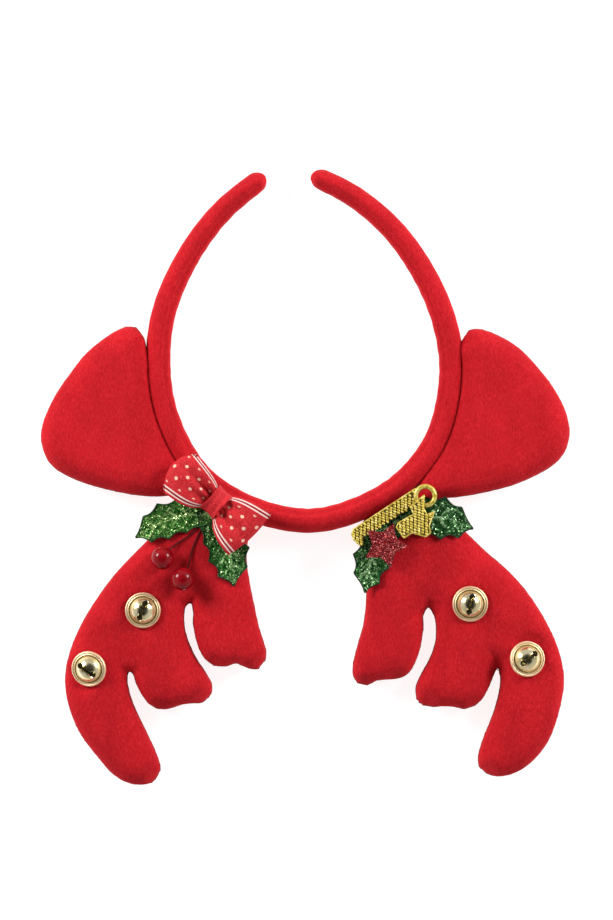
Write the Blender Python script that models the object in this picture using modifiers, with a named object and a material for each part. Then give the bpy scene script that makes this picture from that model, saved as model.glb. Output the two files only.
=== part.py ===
"""Reindeer antler headband, lying on its back with the tips of the hoop towards +Y. Metres, +Z up.

Every piece is placed from the hoop: a frame at a share of the hoop's centre line has one axis out of the
hoop, one along it towards the right tip, and +Z up.
"""

import math

import bmesh
import bpy
from mathutils import Matrix, Vector
from mathutils.geometry import delaunay_2d_cdt

# Gap between two pieces that are sewn or glued together
SEAT_GAP = 0.0003

# Padded hoop, bent to an open horseshoe
HOOP_WIDTH = 0.1235
HOOP_HEIGHT = 0.1457
BAND_THICKNESS = 0.0092
BAND_DEPTH = 0.0120
BAND_TIP_ROUND = 0.0040
BAND_TIP_END_SHARE = 0.45
BAND_TIP_SHARES = (0.0, 0.25, 0.6)
BAND_STEP = 0.0080
BAND_SIDES = 12

# Padded ears
EAR_REACH = 0.0525
EAR_LENGTH = 0.0730
EAR_THICKNESS = 0.0150
EAR_EDGE_ROUND = 0.0090

# Padded antlers, each with three prongs
ANTLER_LENGTH = 0.1275
ANTLER_SPREAD = 0.0813
ANTLER_THICKNESS = 0.0140
ANTLER_EDGE_ROUND = 0.0085

# Facets of the padded pieces
OUTLINE_STEP = 0.0050
FILL_STEP = 0.0080

# Jingle bells: a domed cap and a shallow bowl crimped together at a round rim
BELL_RIM_RADIUS = 0.0075
BELL_RIM_HEIGHT = 0.0012
BELL_DOME_RADIUS = 0.0058
BELL_DOME_HEIGHT = 0.0046
BELL_BOWL_DEPTH = 0.0030
BELL_WALL = 0.0004
BELL_SLOT_LENGTH = 0.0064
BELL_SLOT_WIDTH = 0.0011
BELL_SLOT_HOLE_RADIUS = 0.0011
BELL_PELLET_RADIUS = 0.0014
BELL_SIDES = 18
BELL_CAP_ANGLE = 78.0
BELL_SHOULDER_SHARE = 1.04
DENT_RADIUS = 0.0086
DENT_CLEARANCE = 0.0005

# Holly leaves, cut from one die
LEAF_LENGTH = 0.0300
LEAF_WIDTH = 0.0160
LEAF_THICKNESS = 0.0009
LEAF_FOLD = 0.0010

# Berries on wire stems
BERRY_RADIUS = 0.0048
STEM_RADIUS = 0.0004

# Ribbon bow with a knot wrapped round its waist
BOW_LEFT_REACH = 0.0188
BOW_RIGHT_REACH = 0.0208
BOW_LEFT_ANGLE = 144.0
BOW_RIGHT_ANGLE = -48.5
BOW_LOFT = 0.0065
RIBBON_WIDTH = 0.0230
RIBBON_THICKNESS = 0.0006
BOW_WAIST_WIDTH = 0.0108
BOW_WAIST_LIFT = 0.0016
KNOT_LENGTH = 0.0078
KNOT_WALL = 0.0008
KNOT_CORNER_SHARE = 0.3
KNOT_SWELL_SHARE = 0.2

# Gold cane with a ringed top, and the two stars beside it
CANE_LENGTH = 0.0337
CANE_WIDTH = 0.0056
CANE_RING_RADIUS = 0.0050
CANE_HOLE_RADIUS = 0.0029
CANE_THICKNESS = 0.0014
STAR_THICKNESS = 0.0012
RED_STAR_RADIUS = 0.0097
RED_STAR_NOTCH_RADIUS = 0.0054
GOLD_STAR_RADIUS = 0.0103

# Heights of the layers of trim above the antlers
LEAF_FLOOR = ANTLER_THICKNESS + SEAT_GAP
TRIM_FLOOR = LEAF_FLOOR + LEAF_THICKNESS + LEAF_FOLD + SEAT_GAP
STAR_FLOOR = TRIM_FLOOR + CANE_THICKNESS + SEAT_GAP

# Centre line of the hoop, left tip to right tip: (across / half the width, up / the height)
HOOP_ROUTE = (
    (-0.276, 0.994), (-0.575, 0.888), (-0.810, 0.750), (-0.966, 0.590), (-0.995, 0.420), (-0.916, 0.271),
    (-0.710, 0.128), (-0.382, 0.038), (0.000, 0.000), (0.330, 0.028), (0.660, 0.106), (0.900, 0.235),
    (0.995, 0.400), (0.968, 0.545), (0.840, 0.690), (0.620, 0.830), (0.340, 0.934), (0.051, 0.997),
)  # fmt: skip

# Free edge of each ear: (out / EAR_REACH, along / EAR_LENGTH) in the frame at the ear's middle
EAR_LEFT_EDGE = (
    (-0.052, -0.475), (-0.076, -0.549), (-0.058, -0.601), (-0.004, -0.626), (0.145, -0.623), (0.389, -0.574),
    (0.568, -0.502), (0.733, -0.426), (0.867, -0.342), (0.963, -0.258), (1.006, -0.159), (0.991, -0.049),
    (0.879, 0.059), (0.714, 0.164), (0.498, 0.271), (0.313, 0.341), (0.143, 0.375),
)  # fmt: skip
EAR_RIGHT_EDGE = (
    (-0.046, 0.451), (-0.062, 0.526), (-0.031, 0.569), (0.038, 0.585), (0.181, 0.584), (0.389, 0.550),
    (0.592, 0.470), (0.743, 0.395), (0.875, 0.305), (0.963, 0.210), (0.995, 0.127), (0.981, 0.027),
    (0.890, -0.072), (0.696, -0.201), (0.458, -0.309), (0.270, -0.377), (0.109, -0.413),
)  # fmt: skip

# Free edge of each antler, round its prongs: (out / ANTLER_LENGTH, along / ANTLER_SPREAD)
ANTLER_LEFT_EDGE = (
    (0.115, -0.114), (0.194, -0.164), (0.277, -0.196), (0.408, -0.236), (0.530, -0.248), (0.636, -0.239),
    (0.735, -0.204), (0.795, -0.159), (0.860, -0.069), (0.915, 0.055), (0.944, 0.176), (0.969, 0.306),
    (0.968, 0.397), (0.949, 0.464), (0.919, 0.513), (0.881, 0.518), (0.845, 0.464), (0.796, 0.346),
    (0.744, 0.214), (0.700, 0.130), (0.662, 0.090), (0.640, 0.085), (0.654, 0.117), (0.683, 0.171),
    (0.710, 0.259), (0.711, 0.322), (0.697, 0.363), (0.666, 0.399), (0.634, 0.447), (0.616, 0.502),
    (0.585, 0.526), (0.551, 0.504), (0.524, 0.434), (0.501, 0.349), (0.468, 0.267), (0.431, 0.205),
    (0.383, 0.159), (0.350, 0.154), (0.364, 0.195), (0.414, 0.244), (0.453, 0.304), (0.482, 0.367),
    (0.492, 0.432), (0.479, 0.487), (0.440, 0.540), (0.436, 0.603), (0.425, 0.653), (0.388, 0.662),
    (0.349, 0.623), (0.308, 0.542), (0.248, 0.448), (0.185, 0.353), (0.121, 0.273),
)  # fmt: skip
ANTLER_RIGHT_EDGE = (
    (0.106, 0.158), (0.171, 0.203), (0.246, 0.233), (0.339, 0.269), (0.435, 0.314), (0.537, 0.335),
    (0.637, 0.333), (0.734, 0.310), (0.821, 0.256), (0.890, 0.166), (0.957, 0.042), (0.987, -0.058),
    (1.000, -0.164), (0.991, -0.259), (0.966, -0.331), (0.931, -0.364), (0.896, -0.348), (0.850, -0.271),
    (0.796, -0.153), (0.741, -0.058), (0.698, -0.009), (0.671, 0.002), (0.686, -0.038), (0.719, -0.110),
    (0.742, -0.191), (0.733, -0.259), (0.689, -0.331), (0.662, -0.426), (0.630, -0.456), (0.593, -0.431),
    (0.563, -0.371), (0.535, -0.287), (0.497, -0.207), (0.451, -0.155), (0.409, -0.131), (0.382, -0.135),
    (0.391, -0.178), (0.439, -0.225), (0.493, -0.304), (0.533, -0.402), (0.529, -0.484), (0.499, -0.539),
    (0.495, -0.597), (0.492, -0.648), (0.463, -0.666), (0.420, -0.638), (0.367, -0.555), (0.315, -0.463),
    (0.255, -0.389), (0.194, -0.328), (0.120, -0.271),
)  # fmt: skip

# Where the pieces meet the hoop, as shares of its centre line from the left tip: (start, frame, end)
EAR_LEFT_ROOT = (0.233, 0.304, 0.3705)
EAR_RIGHT_ROOT = (0.741, 0.6755, 0.6031)
ANTLER_LEFT_ROOT = (0.383, 0.3943, 0.4338)
ANTLER_RIGHT_ROOT = (0.5934, 0.5804, 0.5442)

# Bells: (node, antler frame, out / ANTLER_LENGTH, along / ANTLER_SPREAD, slot angle, lean, lean direction)
BELLS = (
    ("bell_1", ANTLER_LEFT_ROOT, 0.4575, -0.0139, 68.6, 0.0, 0.0),
    ("bell_2", ANTLER_LEFT_ROOT, 0.7136, -0.0841, -33.6, 14.0, 205.0),
    ("bell_3", ANTLER_RIGHT_ROOT, 0.4441, 0.0509, 78.7, 0.0, 0.0),
    ("bell_4", ANTLER_RIGHT_ROOT, 0.6959, 0.1464, 38.9, 12.0, 37.0),
)

# Leaves: (node, antler frame, out / ANTLER_LENGTH, along / ANTLER_SPREAD, heading from the out axis,
# sideways bend / LEAF_WIDTH, width / LEAF_WIDTH)
LEAVES = (
    ("leaf_1", ANTLER_LEFT_ROOT, 0.0871, -0.0185, -38.2, -0.17, 0.92),
    ("leaf_2", ANTLER_LEFT_ROOT, 0.0847, 0.0221, 51.6, 0.15, 1.06),
    ("leaf_3", ANTLER_RIGHT_ROOT, 0.0933, -0.0135, 50.6, 0.18, 1.06),
    ("leaf_4", ANTLER_RIGHT_ROOT, 0.0925, -0.0738, -54.1, -0.17, 0.94),
)

# Half blade of a leaf: (along / LEAF_LENGTH, out / half of LEAF_WIDTH), with three blunt teeth a side
LEAF_BLADE = (
    (0.00, 0.10), (0.12, 0.44), (0.27, 0.90), (0.36, 0.86), (0.55, 1.00), (0.64, 0.86), (0.80, 0.70),
    (0.88, 0.34),
)  # fmt: skip

# Berries: (node, its place, then the way of its stem), each (out / ANTLER_LENGTH, along / ANTLER_SPREAD)
BERRIES = (
    ("berry_1", (0.2776, -0.0726), ((0.1137, -0.0037), (0.1569, -0.0123), (0.2039, -0.0443), (0.2353, -0.0640))),
    ("berry_2", (0.2996, 0.0701), ((0.1137, 0.0123), (0.1569, 0.0172), (0.2078, 0.0320), (0.2549, 0.0590))),
)

# Loops of the bow from waist to fold: (distance out / reach, share of the climb onto the leaves,
# lower side / BOW_LOFT, upper side / BOW_LOFT, share of the widening from waist to full ribbon)
BOW_LOOP = (
    (0.22, 0.06, 0.00, 0.00, 0.06),
    (0.45, 1.00, 0.00, 0.48, 0.42),
    (0.75, 1.00, 0.06, 0.70, 0.82),
    (0.95, 1.00, 0.14, 0.58, 0.98),
    (1.00, 1.00, 0.36, 0.36, 1.00),
)
RIBBON_COLUMNS = (-0.5, -0.25, 0.0, 0.25, 0.5)
KNOT_ROWS = ((-0.5, 1.0), (-0.2, 0.0), (0.2, 0.0), (0.5, 1.0))

# Straight side of the cane's foot, from the stick to its hook: (along / CANE_WIDTH, up / CANE_WIDTH)
CANE_FOOT = ((0.54, 0.0), (0.29, -0.32), (-0.04, -0.39), (-0.20, 0.11), (-0.16, 0.64), (0.16, 1.0))

# Gold star beside the cane, a point cut short where it lies under the ring: shares of its radius
GOLD_STAR_EDGE = (
    (-0.63, 0.83), (-0.22, 0.52), (0.11, 0.49), (0.15, 0.81), (0.53, 0.32), (0.79, 0.22), (0.81, -0.02),
    (0.38, -0.39), (0.39, -0.78), (-0.14, -0.81), (-0.24, -0.65), (-0.22, -0.06), (-0.14, 0.05), (-0.52, 0.11),
)  # fmt: skip

# Places of the other trims: (out / ANTLER_LENGTH, along / ANTLER_SPREAD)
BOW_PLACE = (0.0094, -0.0111)
CANE_PLACE = (0.0706, -0.2620)
CANE_HEADING = 90.8
RED_STAR_PLACE = (0.1318, -0.1550)
RED_STAR_TURN = -3.0
GOLD_STAR_PLACE = (0.1137, 0.0443)


def clear_scene():
    for item in list(bpy.data.objects):
        bpy.data.objects.remove(item, do_unlink=True)


def new_collection(name):
    group = bpy.data.collections.new(name)
    bpy.context.scene.collection.children.link(group)
    return group


def make_material(name, colour, roughness, metallic=0.0):
    material = bpy.data.materials.new(name)
    material.use_nodes = True
    shader = material.node_tree.nodes["Principled BSDF"]
    shader.inputs["Base Color"].default_value = (*colour, 1.0)
    shader.inputs["Roughness"].default_value = roughness
    shader.inputs["Metallic"].default_value = metallic
    return material


def smooth_line(points, steps):
    """Points on a Catmull-Rom curve through the given points, steps to each span."""
    points = [Vector(p) for p in points]
    padded = [2 * points[0] - points[1], *points, 2 * points[-1] - points[-2]]
    line = []
    for before, start, end, after in zip(padded, padded[1:], padded[2:], padded[3:]):
        for step in range(steps):
            t = step / steps
            linear = (end - before) * t
            square = (2 * before - 5 * start + 4 * end - after) * t**2
            cube = (3 * start - before - 3 * end + after) * t**3
            line.append((2 * start + linear + square + cube) / 2)
    return [*line, points[-1]]


def resample(line, step):
    """The same line with points an even distance apart, about one step."""
    runs = [0.0]
    for a, b in zip(line, line[1:]):
        runs.append(runs[-1] + (b - a).length)
    count = max(3, round(runs[-1] / step))
    even = []
    at = 0
    for i in range(count + 1):
        want = runs[-1] * i / count
        while at < len(runs) - 2 and runs[at + 1] < want:
            at += 1
        part = (want - runs[at]) / (runs[at + 1] - runs[at])
        even.append(line[at].lerp(line[at + 1], part))
    return even


ROUTE_FINENESS = 24
HOOP_LINE = smooth_line(((x * HOOP_WIDTH / 2, y * HOOP_HEIGHT) for x, y in HOOP_ROUTE), ROUTE_FINENESS)
HOOP_RUNS = [0.0]
for here, there in zip(HOOP_LINE, HOOP_LINE[1:]):
    HOOP_RUNS.append(HOOP_RUNS[-1] + (there - here).length)
HOOP_LENGTH = HOOP_RUNS[-1]
TANGENT_SHARE = 0.006


def hoop_point(share):
    """Point on the hoop's centre line, at a share of its length from the left tip."""
    want = share * HOOP_LENGTH
    at = max(i for i, run in enumerate(HOOP_RUNS[:-1]) if run <= max(want, 0.0))
    part = (want - HOOP_RUNS[at]) / (HOOP_RUNS[at + 1] - HOOP_RUNS[at])
    return HOOP_LINE[at].lerp(HOOP_LINE[at + 1], part)


def hoop_frame(share):
    """Matrix whose X points out of the hoop, Y along it and Z up, with its origin on the centre line."""
    origin = hoop_point(share)
    along = (hoop_point(share + TANGENT_SHARE) - hoop_point(share - TANGENT_SHARE)).normalized()
    return Matrix(
        (
            (along.y, along.x, 0.0, origin.x),
            (-along.x, along.y, 0.0, origin.y),
            (0.0, 0.0, 1.0, 0.0),
            (0.0, 0.0, 0.0, 1.0),
        )
    )


def antler_frame(root, place, height):
    """The frame at an antler's root, moved to a place on it and up to a height."""
    out, along = place
    shift = Matrix.Translation((out * ANTLER_LENGTH, along * ANTLER_SPREAD, height))
    return hoop_frame(root[1]) @ shift


def add_node(name, mesh, material, group):
    node = bpy.data.objects.new(name, mesh)
    group.objects.link(node)
    mesh.materials.append(material)
    return node


def mesh_from(name, bm, smooth_angle=50.0):
    """Mesh of a bmesh, shaded smooth up to an angle between its faces."""
    bmesh.ops.recalc_face_normals(bm, faces=bm.faces)
    mesh = bpy.data.meshes.new(name)
    bm.to_mesh(mesh)
    bm.free()
    mesh.shade_smooth()
    mesh.set_sharp_from_angle(angle=math.radians(smooth_angle))
    return mesh


def curve_mesh(curve, name):
    """Mesh of a curve object with its caps welded; the curve is removed."""
    graph = bpy.context.evaluated_depsgraph_get()
    mesh = bpy.data.meshes.new_from_object(curve.evaluated_get(graph))
    mesh.name = name
    data = curve.data
    bpy.data.objects.remove(curve, do_unlink=True)
    bpy.data.curves.remove(data)
    bm = bmesh.new()
    bm.from_mesh(mesh)
    bmesh.ops.remove_doubles(bm, verts=bm.verts, dist=1e-6)
    bmesh.ops.recalc_face_normals(bm, faces=bm.faces)
    bm.to_mesh(mesh)
    bm.free()
    return mesh


def line_curve(name, lines, dimensions, group, closed=False):
    """Curve object made of straight-sided splines through the points of each line."""
    data = bpy.data.curves.new(name, "CURVE")
    data.dimensions = dimensions
    for line in lines:
        spline = data.splines.new("POLY")
        spline.points.add(len(line) - 1)
        for point, place in zip(spline.points, line):
            point.co = (*Vector(place).to_3d(), 1.0)
        spline.use_cyclic_u = closed
    curve = bpy.data.objects.new(name, data)
    group.objects.link(curve)
    return curve


def flat_plate(name, lines, thickness, group, material):
    """Plate of even thickness standing on z = 0: an outline, then any holes in it."""
    curve = line_curve(name, lines, "2D", group, closed=True)
    curve.data.fill_mode = "BOTH"
    curve.data.extrude = thickness / 2
    mesh = curve_mesh(curve, name)
    mesh.transform(Matrix.Translation((0.0, 0.0, thickness / 2)))
    return add_node(name, mesh, material, group)


def bulge(inset, edge_round):
    """Height of a rounded edge at a distance in from it, from 0 at the edge to 1."""
    return math.sqrt(max(0.0, 1.0 - (1.0 - min(inset / edge_round, 1.0)) ** 2))


def make_headband(group, guides, material):
    """Foam tube of oval section round the whole hoop, its two tips rounded off."""
    oval = []
    across_flats = 1.0 / math.cos(math.pi / BAND_SIDES)
    for i in range(BAND_SIDES):
        turn = math.tau * (i + 0.5) / BAND_SIDES
        corner = Vector((math.cos(turn) * BAND_THICKNESS, math.sin(turn) * BAND_DEPTH)) / 2
        oval.append(corner * across_flats)
    section = line_curve("band_section", [oval], "2D", guides, closed=True)
    section.hide_render = True
    section.display_type = "WIRE"
    count = round((HOOP_LENGTH - 2 * BAND_TIP_ROUND) / BAND_STEP)
    first = BAND_TIP_ROUND / HOOP_LENGTH
    tip = [first * part for part in BAND_TIP_SHARES]
    shares = [*tip, *(first + (1.0 - 2 * first) * i / count for i in range(count + 1))]
    shares += [1.0 - share for share in reversed(tip)]
    band = line_curve("headband", [[hoop_point(share) for share in shares]], "3D", group)
    band.data.twist_mode = "Z_UP"
    band.data.bevel_mode = "OBJECT"
    band.data.bevel_object = section
    band.data.use_fill_caps = True
    for point, share in zip(band.data.splines[0].points, shares):
        inset = min(share, 1.0 - share) * HOOP_LENGTH
        point.radius = max(BAND_TIP_END_SHARE, bulge(inset, BAND_TIP_ROUND))
    mesh = curve_mesh(band, "headband")
    mesh.transform(Matrix.Translation((0.0, 0.0, BAND_DEPTH / 2)))
    mesh.shade_smooth()
    mesh.set_sharp_from_angle(angle=math.radians(60.0))
    return add_node("headband", mesh, material, group)


def sewn_outline(root, edge, reach, length):
    """Outline of a padded piece: its rounded free edge, closed by its seam along the hoop's outer side."""
    start, middle, end = root
    frame = hoop_frame(middle)
    off = Vector((BAND_THICKNESS / 2 + SEAT_GAP, 0.0, 0.0))
    count = max(3, round(abs(end - start) * HOOP_LENGTH / OUTLINE_STEP))
    seam = [(hoop_frame(end + (start - end) * i / count) @ off).to_2d() for i in range(count + 1)]
    free = [(frame @ Vector((out * reach, along * length, 0.0))).to_2d() for out, along in edge]
    outline = resample(smooth_line([seam[-1], *free, seam[0]], 6), OUTLINE_STEP)
    outline += seam[1:-1]
    area = sum(a.cross(b) for a, b in zip(outline, [*outline[1:], outline[0]]))
    return outline if area > 0.0 else outline[::-1]


def distance_to_line(point, line):
    """Shortest distance from a point to a closed line."""
    best = math.inf
    for a, b in zip(line, [*line[1:], line[0]]):
        side = b - a
        part = max(0.0, min(1.0, (point - a).dot(side) / side.length_squared))
        best = min(best, (point - a - side * part).length)
    return best


def inside(point, line):
    """Whether a point lies inside a closed line."""
    found = False
    for a, b in zip(line, [*line[1:], line[0]]):
        if (a.y > point.y) != (b.y > point.y):
            found ^= point.x < a.x + (b.x - a.x) * (point.y - a.y) / (b.y - a.y)
    return found


EDGE_RINGS = (0.134, 0.5, 1.0)
DENT_RINGS = ((0.42, 6), (0.72, 9), (1.0, 12))


def fill_points(outline, edge_round, dents):
    """Points inside an outline: rings that follow its rounded edge, rings in each dent, then a grid."""
    chosen = []

    def keep(point, depth, spacing):
        clear = all((point - other).length > spacing for other in chosen)
        if clear and inside(point, outline) and distance_to_line(point, outline) > depth:
            chosen.append(point)

    for seat, _ in dents:
        chosen.append(seat.to_2d())
        for share, count in DENT_RINGS:
            for i in range(count):
                turn = math.tau * i / count
                ring = Vector((math.cos(turn), math.sin(turn))) * DENT_RADIUS * share
                keep(seat.to_2d() + ring, edge_round * EDGE_RINGS[0], DENT_RADIUS * 0.25)
    for ring in EDGE_RINGS:
        inset = edge_round * ring
        for before, point, after in zip([outline[-1], *outline], outline, [*outline[1:], outline[0]]):
            side = (after - before).normalized()
            keep(point + Vector((-side.y, side.x)) * inset, inset * 0.97, OUTLINE_STEP * 0.4)
    low = [min(p[axis] for p in outline) for axis in (0, 1)]
    high = [max(p[axis] for p in outline) for axis in (0, 1)]
    row = 0
    y = low[1]
    while y < high[1]:
        x = low[0] + (row % 2) * FILL_STEP / 2
        while x < high[0]:
            keep(Vector((x, y)), edge_round, FILL_STEP * 0.7)
            x += FILL_STEP
        y += FILL_STEP * math.sqrt(0.75)
        row += 1
    return chosen


def pressed(place, seat, fall):
    """Height that a bell's underside leaves to the padding below it; no limit beyond the dent."""
    away = place - seat.to_2d()
    if away.length > DENT_RADIUS * 1.01:
        return math.inf
    bowl = max(0.0, 1.0 - (away.length / BELL_RIM_RADIUS) ** 2) * (BELL_BOWL_DEPTH - BELL_RIM_HEIGHT / 2)
    return seat.z - away.dot(fall) - BELL_RIM_HEIGHT / 2 - bowl - DENT_CLEARANCE


def make_padded(name, outline, thickness, edge_round, dents, group, material):
    """Stuffed flat piece with rounded edges, lying on z = 0, with a round dent under each bell."""
    points = outline + fill_points(outline, edge_round, dents)
    rim = list(range(len(outline)))
    flat, _, triangles, *_ = delaunay_2d_cdt(points, [], [rim], 1, 1e-7)
    half = thickness / 2
    bm = bmesh.new()
    upper = []
    lower = []
    for place in flat:
        inset = distance_to_line(place, outline)
        rise = half * bulge(inset, edge_round)
        height = min([half + rise, *(pressed(place, seat, fall) for seat, fall in dents)])
        upper.append(bm.verts.new((*place, height)))
        lower.append(upper[-1] if inset < 1e-6 else bm.verts.new((*place, half - rise)))
    for a, b, c in triangles:
        if any(upper[corner] is not lower[corner] for corner in (a, b, c)):
            bm.faces.new((upper[a], upper[b], upper[c]))
            bm.faces.new((lower[c], lower[b], lower[a]))
    unused = [vert for vert in bm.verts if not vert.link_faces]
    bmesh.ops.delete(bm, geom=unused, context="VERTS")
    return add_node(name, mesh_from(name, bm), material, group)


def bell_seat(root, out, along, lean, lean_direction):
    """Centre of a bell's rim, and how its rim plane falls away across X and Y."""
    seat = antler_frame(root, (out, along), LEAF_FLOOR + BELL_RIM_HEIGHT / 2).translation
    turn = math.radians(lean_direction)
    return seat, Vector((math.cos(turn), math.sin(turn))) * math.tan(math.radians(lean))


def bell_profiles():
    """The bell's outer skin from crown to foot, and its inner skin from foot to crown."""
    cap = math.radians(BELL_CAP_ANGLE)
    rim = BELL_RIM_RADIUS
    half = BELL_RIM_HEIGHT / 2
    outer = []
    for i in range(6):
        turn = cap * i / 5
        outer.append((BELL_DOME_RADIUS * math.sin(turn), half + (BELL_DOME_HEIGHT - half) * math.cos(turn)))
    outer += [(BELL_DOME_RADIUS * BELL_SHOULDER_SHARE, half / 2), (rim - half, half), (rim, 0.0)]
    outer.append((rim - half, -half))
    for i in range(4):
        turn = cap * (1.0 - i / 3)
        outer.append((BELL_DOME_RADIUS * math.sin(turn), -BELL_BOWL_DEPTH * math.cos(turn)))
    inner = []
    radius = BELL_DOME_RADIUS - BELL_WALL
    for i in range(7):
        turn = math.pi * (1.0 - i / 6)
        height = BELL_DOME_HEIGHT if turn < math.pi / 2 else BELL_BOWL_DEPTH
        inner.append((radius * math.sin(turn), (height - BELL_WALL) * math.cos(turn)))
    return outer, inner


def slot_outline():
    """Dumbbell outline of the bell's slot: two round holes joined by a narrow cut."""
    half = BELL_SLOT_LENGTH / 2
    start = math.asin(BELL_SLOT_WIDTH / 2 / BELL_SLOT_HOLE_RADIUS)
    line = []
    for side in (1.0, -1.0):
        for i in range(8):
            turn = math.pi - start - (math.tau - 2 * start) * i / 7
            hole = Vector((math.cos(turn), math.sin(turn))) * BELL_SLOT_HOLE_RADIUS
            line.append((side * (half + hole.x), side * hole.y))
    return line


def make_bell(row, group, guides, gold, steel):
    """Turned shell with its slot cut through the dome, leaned over as sewn, and the pellet in it."""
    name, root, out, along, slot_angle, lean, lean_direction = row
    wires = bmesh.new()
    for profile in bell_profiles():
        spots = [wires.verts.new((radius, 0.0, height)) for radius, height in profile]
        for a, b in zip(spots, spots[1:]):
            wires.edges.new((a, b))
    mesh = bpy.data.meshes.new(name)
    wires.to_mesh(mesh)
    wires.free()
    bell = add_node(name, mesh, gold, group)
    screw = bell.modifiers.new("turned", "SCREW")
    screw.steps = BELL_SIDES
    screw.render_steps = BELL_SIDES
    screw.use_merge_vertices = True
    screw.merge_threshold = 0.00001
    screw.use_smooth_shade = True
    blade = line_curve(name + "_cutter", [slot_outline()], "2D", guides, closed=True)
    blade.data.fill_mode = "BOTH"
    blade.data.extrude = BELL_DOME_HEIGHT
    cutter_mesh = curve_mesh(blade, name + "_cutter")
    cutter_mesh.transform(Matrix.Translation((0.0, 0.0, BELL_DOME_HEIGHT + BELL_RIM_HEIGHT)))
    cutter = bpy.data.objects.new(name + "_cutter", cutter_mesh)
    guides.objects.link(cutter)
    cutter.hide_render = True
    cutter.display_type = "WIRE"
    cut = bell.modifiers.new("slot", "BOOLEAN")
    cut.operation = "DIFFERENCE"
    cut.solver = "EXACT"
    cut.object = cutter
    seat, fall = bell_seat(root, out, along, lean, lean_direction)
    leaned = Matrix.Rotation(math.atan(fall.length), 4, Vector((-fall.y, fall.x, 0.0))) if lean else Matrix()
    placed = Matrix.Translation(seat) @ leaned @ Matrix.Rotation(math.radians(slot_angle), 4, "Z")
    bell.matrix_world = placed
    cutter.matrix_world = placed
    ball = bmesh.new()
    bmesh.ops.create_icosphere(ball, subdivisions=2, radius=BELL_PELLET_RADIUS)
    pellet = add_node(name + "_pellet", mesh_from(name + "_pellet", ball), steel, group)
    foot = BELL_BOWL_DEPTH - BELL_WALL - SEAT_GAP - BELL_PELLET_RADIUS
    pellet.matrix_world = placed @ Matrix.Translation((0.0, 0.0, -foot))


def make_leaf(name, root, out, along, heading, bend, spread, group, material):
    """Stiff leaf with blunt teeth and a bent midrib, creased there so that both halves rise."""
    bm = bmesh.new()
    rows = []
    for station, width in LEAF_BLADE:
        row = []
        middle = bend * 4 * station * (1.0 - station)
        for side in (-1.0, 0.0, 1.0):
            across = (middle + side * width * spread / 2) * LEAF_WIDTH
            row.append(bm.verts.new((station * LEAF_LENGTH, across, LEAF_FOLD * abs(side) * width)))
        rows.append(row)
    tip = bm.verts.new((LEAF_LENGTH, 0.0, 0.0))
    for near, far in zip(rows, rows[1:]):
        for side in (0, 1):
            bm.faces.new((near[side], far[side], far[side + 1], near[side + 1]))
    for side in (0, 1):
        bm.faces.new((rows[-1][side], tip, rows[-1][side + 1]))
    leaf = add_node(name, mesh_from(name, bm, 20.0), material, group)
    if leaf.data.polygons[0].normal.z < 0.0:
        leaf.data.flip_normals()
    wall = leaf.modifiers.new("wall", "SOLIDIFY")
    wall.thickness = LEAF_THICKNESS
    wall.offset = 1.0
    turned = Matrix.Rotation(math.radians(heading), 4, "Z")
    leaf.matrix_world = antler_frame(root, (out, along), LEAF_FLOOR) @ turned


def make_berry(name, place, route, group, material, wire_material):
    """Round berry lying on the left antler, with its wire stem running back between the leaves."""
    bm = bmesh.new()
    bmesh.ops.create_uvsphere(bm, u_segments=14, v_segments=8, radius=BERRY_RADIUS)
    berry = add_node(name, mesh_from(name, bm), material, group)
    berry.matrix_world = antler_frame(ANTLER_LEFT_ROOT, place, LEAF_FLOOR + BERRY_RADIUS)
    centre = berry.matrix_world.translation
    way = [antler_frame(ANTLER_LEFT_ROOT, spot, LEAF_FLOOR + STEM_RADIUS).translation for spot in route]
    way.append(centre + (way[-1] - centre).normalized() * (BERRY_RADIUS + SEAT_GAP))
    stem = line_curve(name + "_stem", [smooth_line(way, 2)], "3D", group)
    stem.data.bevel_depth = STEM_RADIUS
    stem.data.bevel_resolution = 1
    stem.data.use_fill_caps = True
    add_node(name + "_stem", curve_mesh(stem, name + "_stem"), wire_material, group)


def bow_row(reach, angle, across, width, height):
    """Points across the ribbon, at a distance from the waist and a height."""
    centre = Vector((math.cos(angle) * reach, math.sin(angle) * reach, height))
    side = Vector((-math.sin(across), math.cos(across), 0.0)) * width
    return [centre + side * column for column in RIBBON_COLUMNS]


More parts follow.
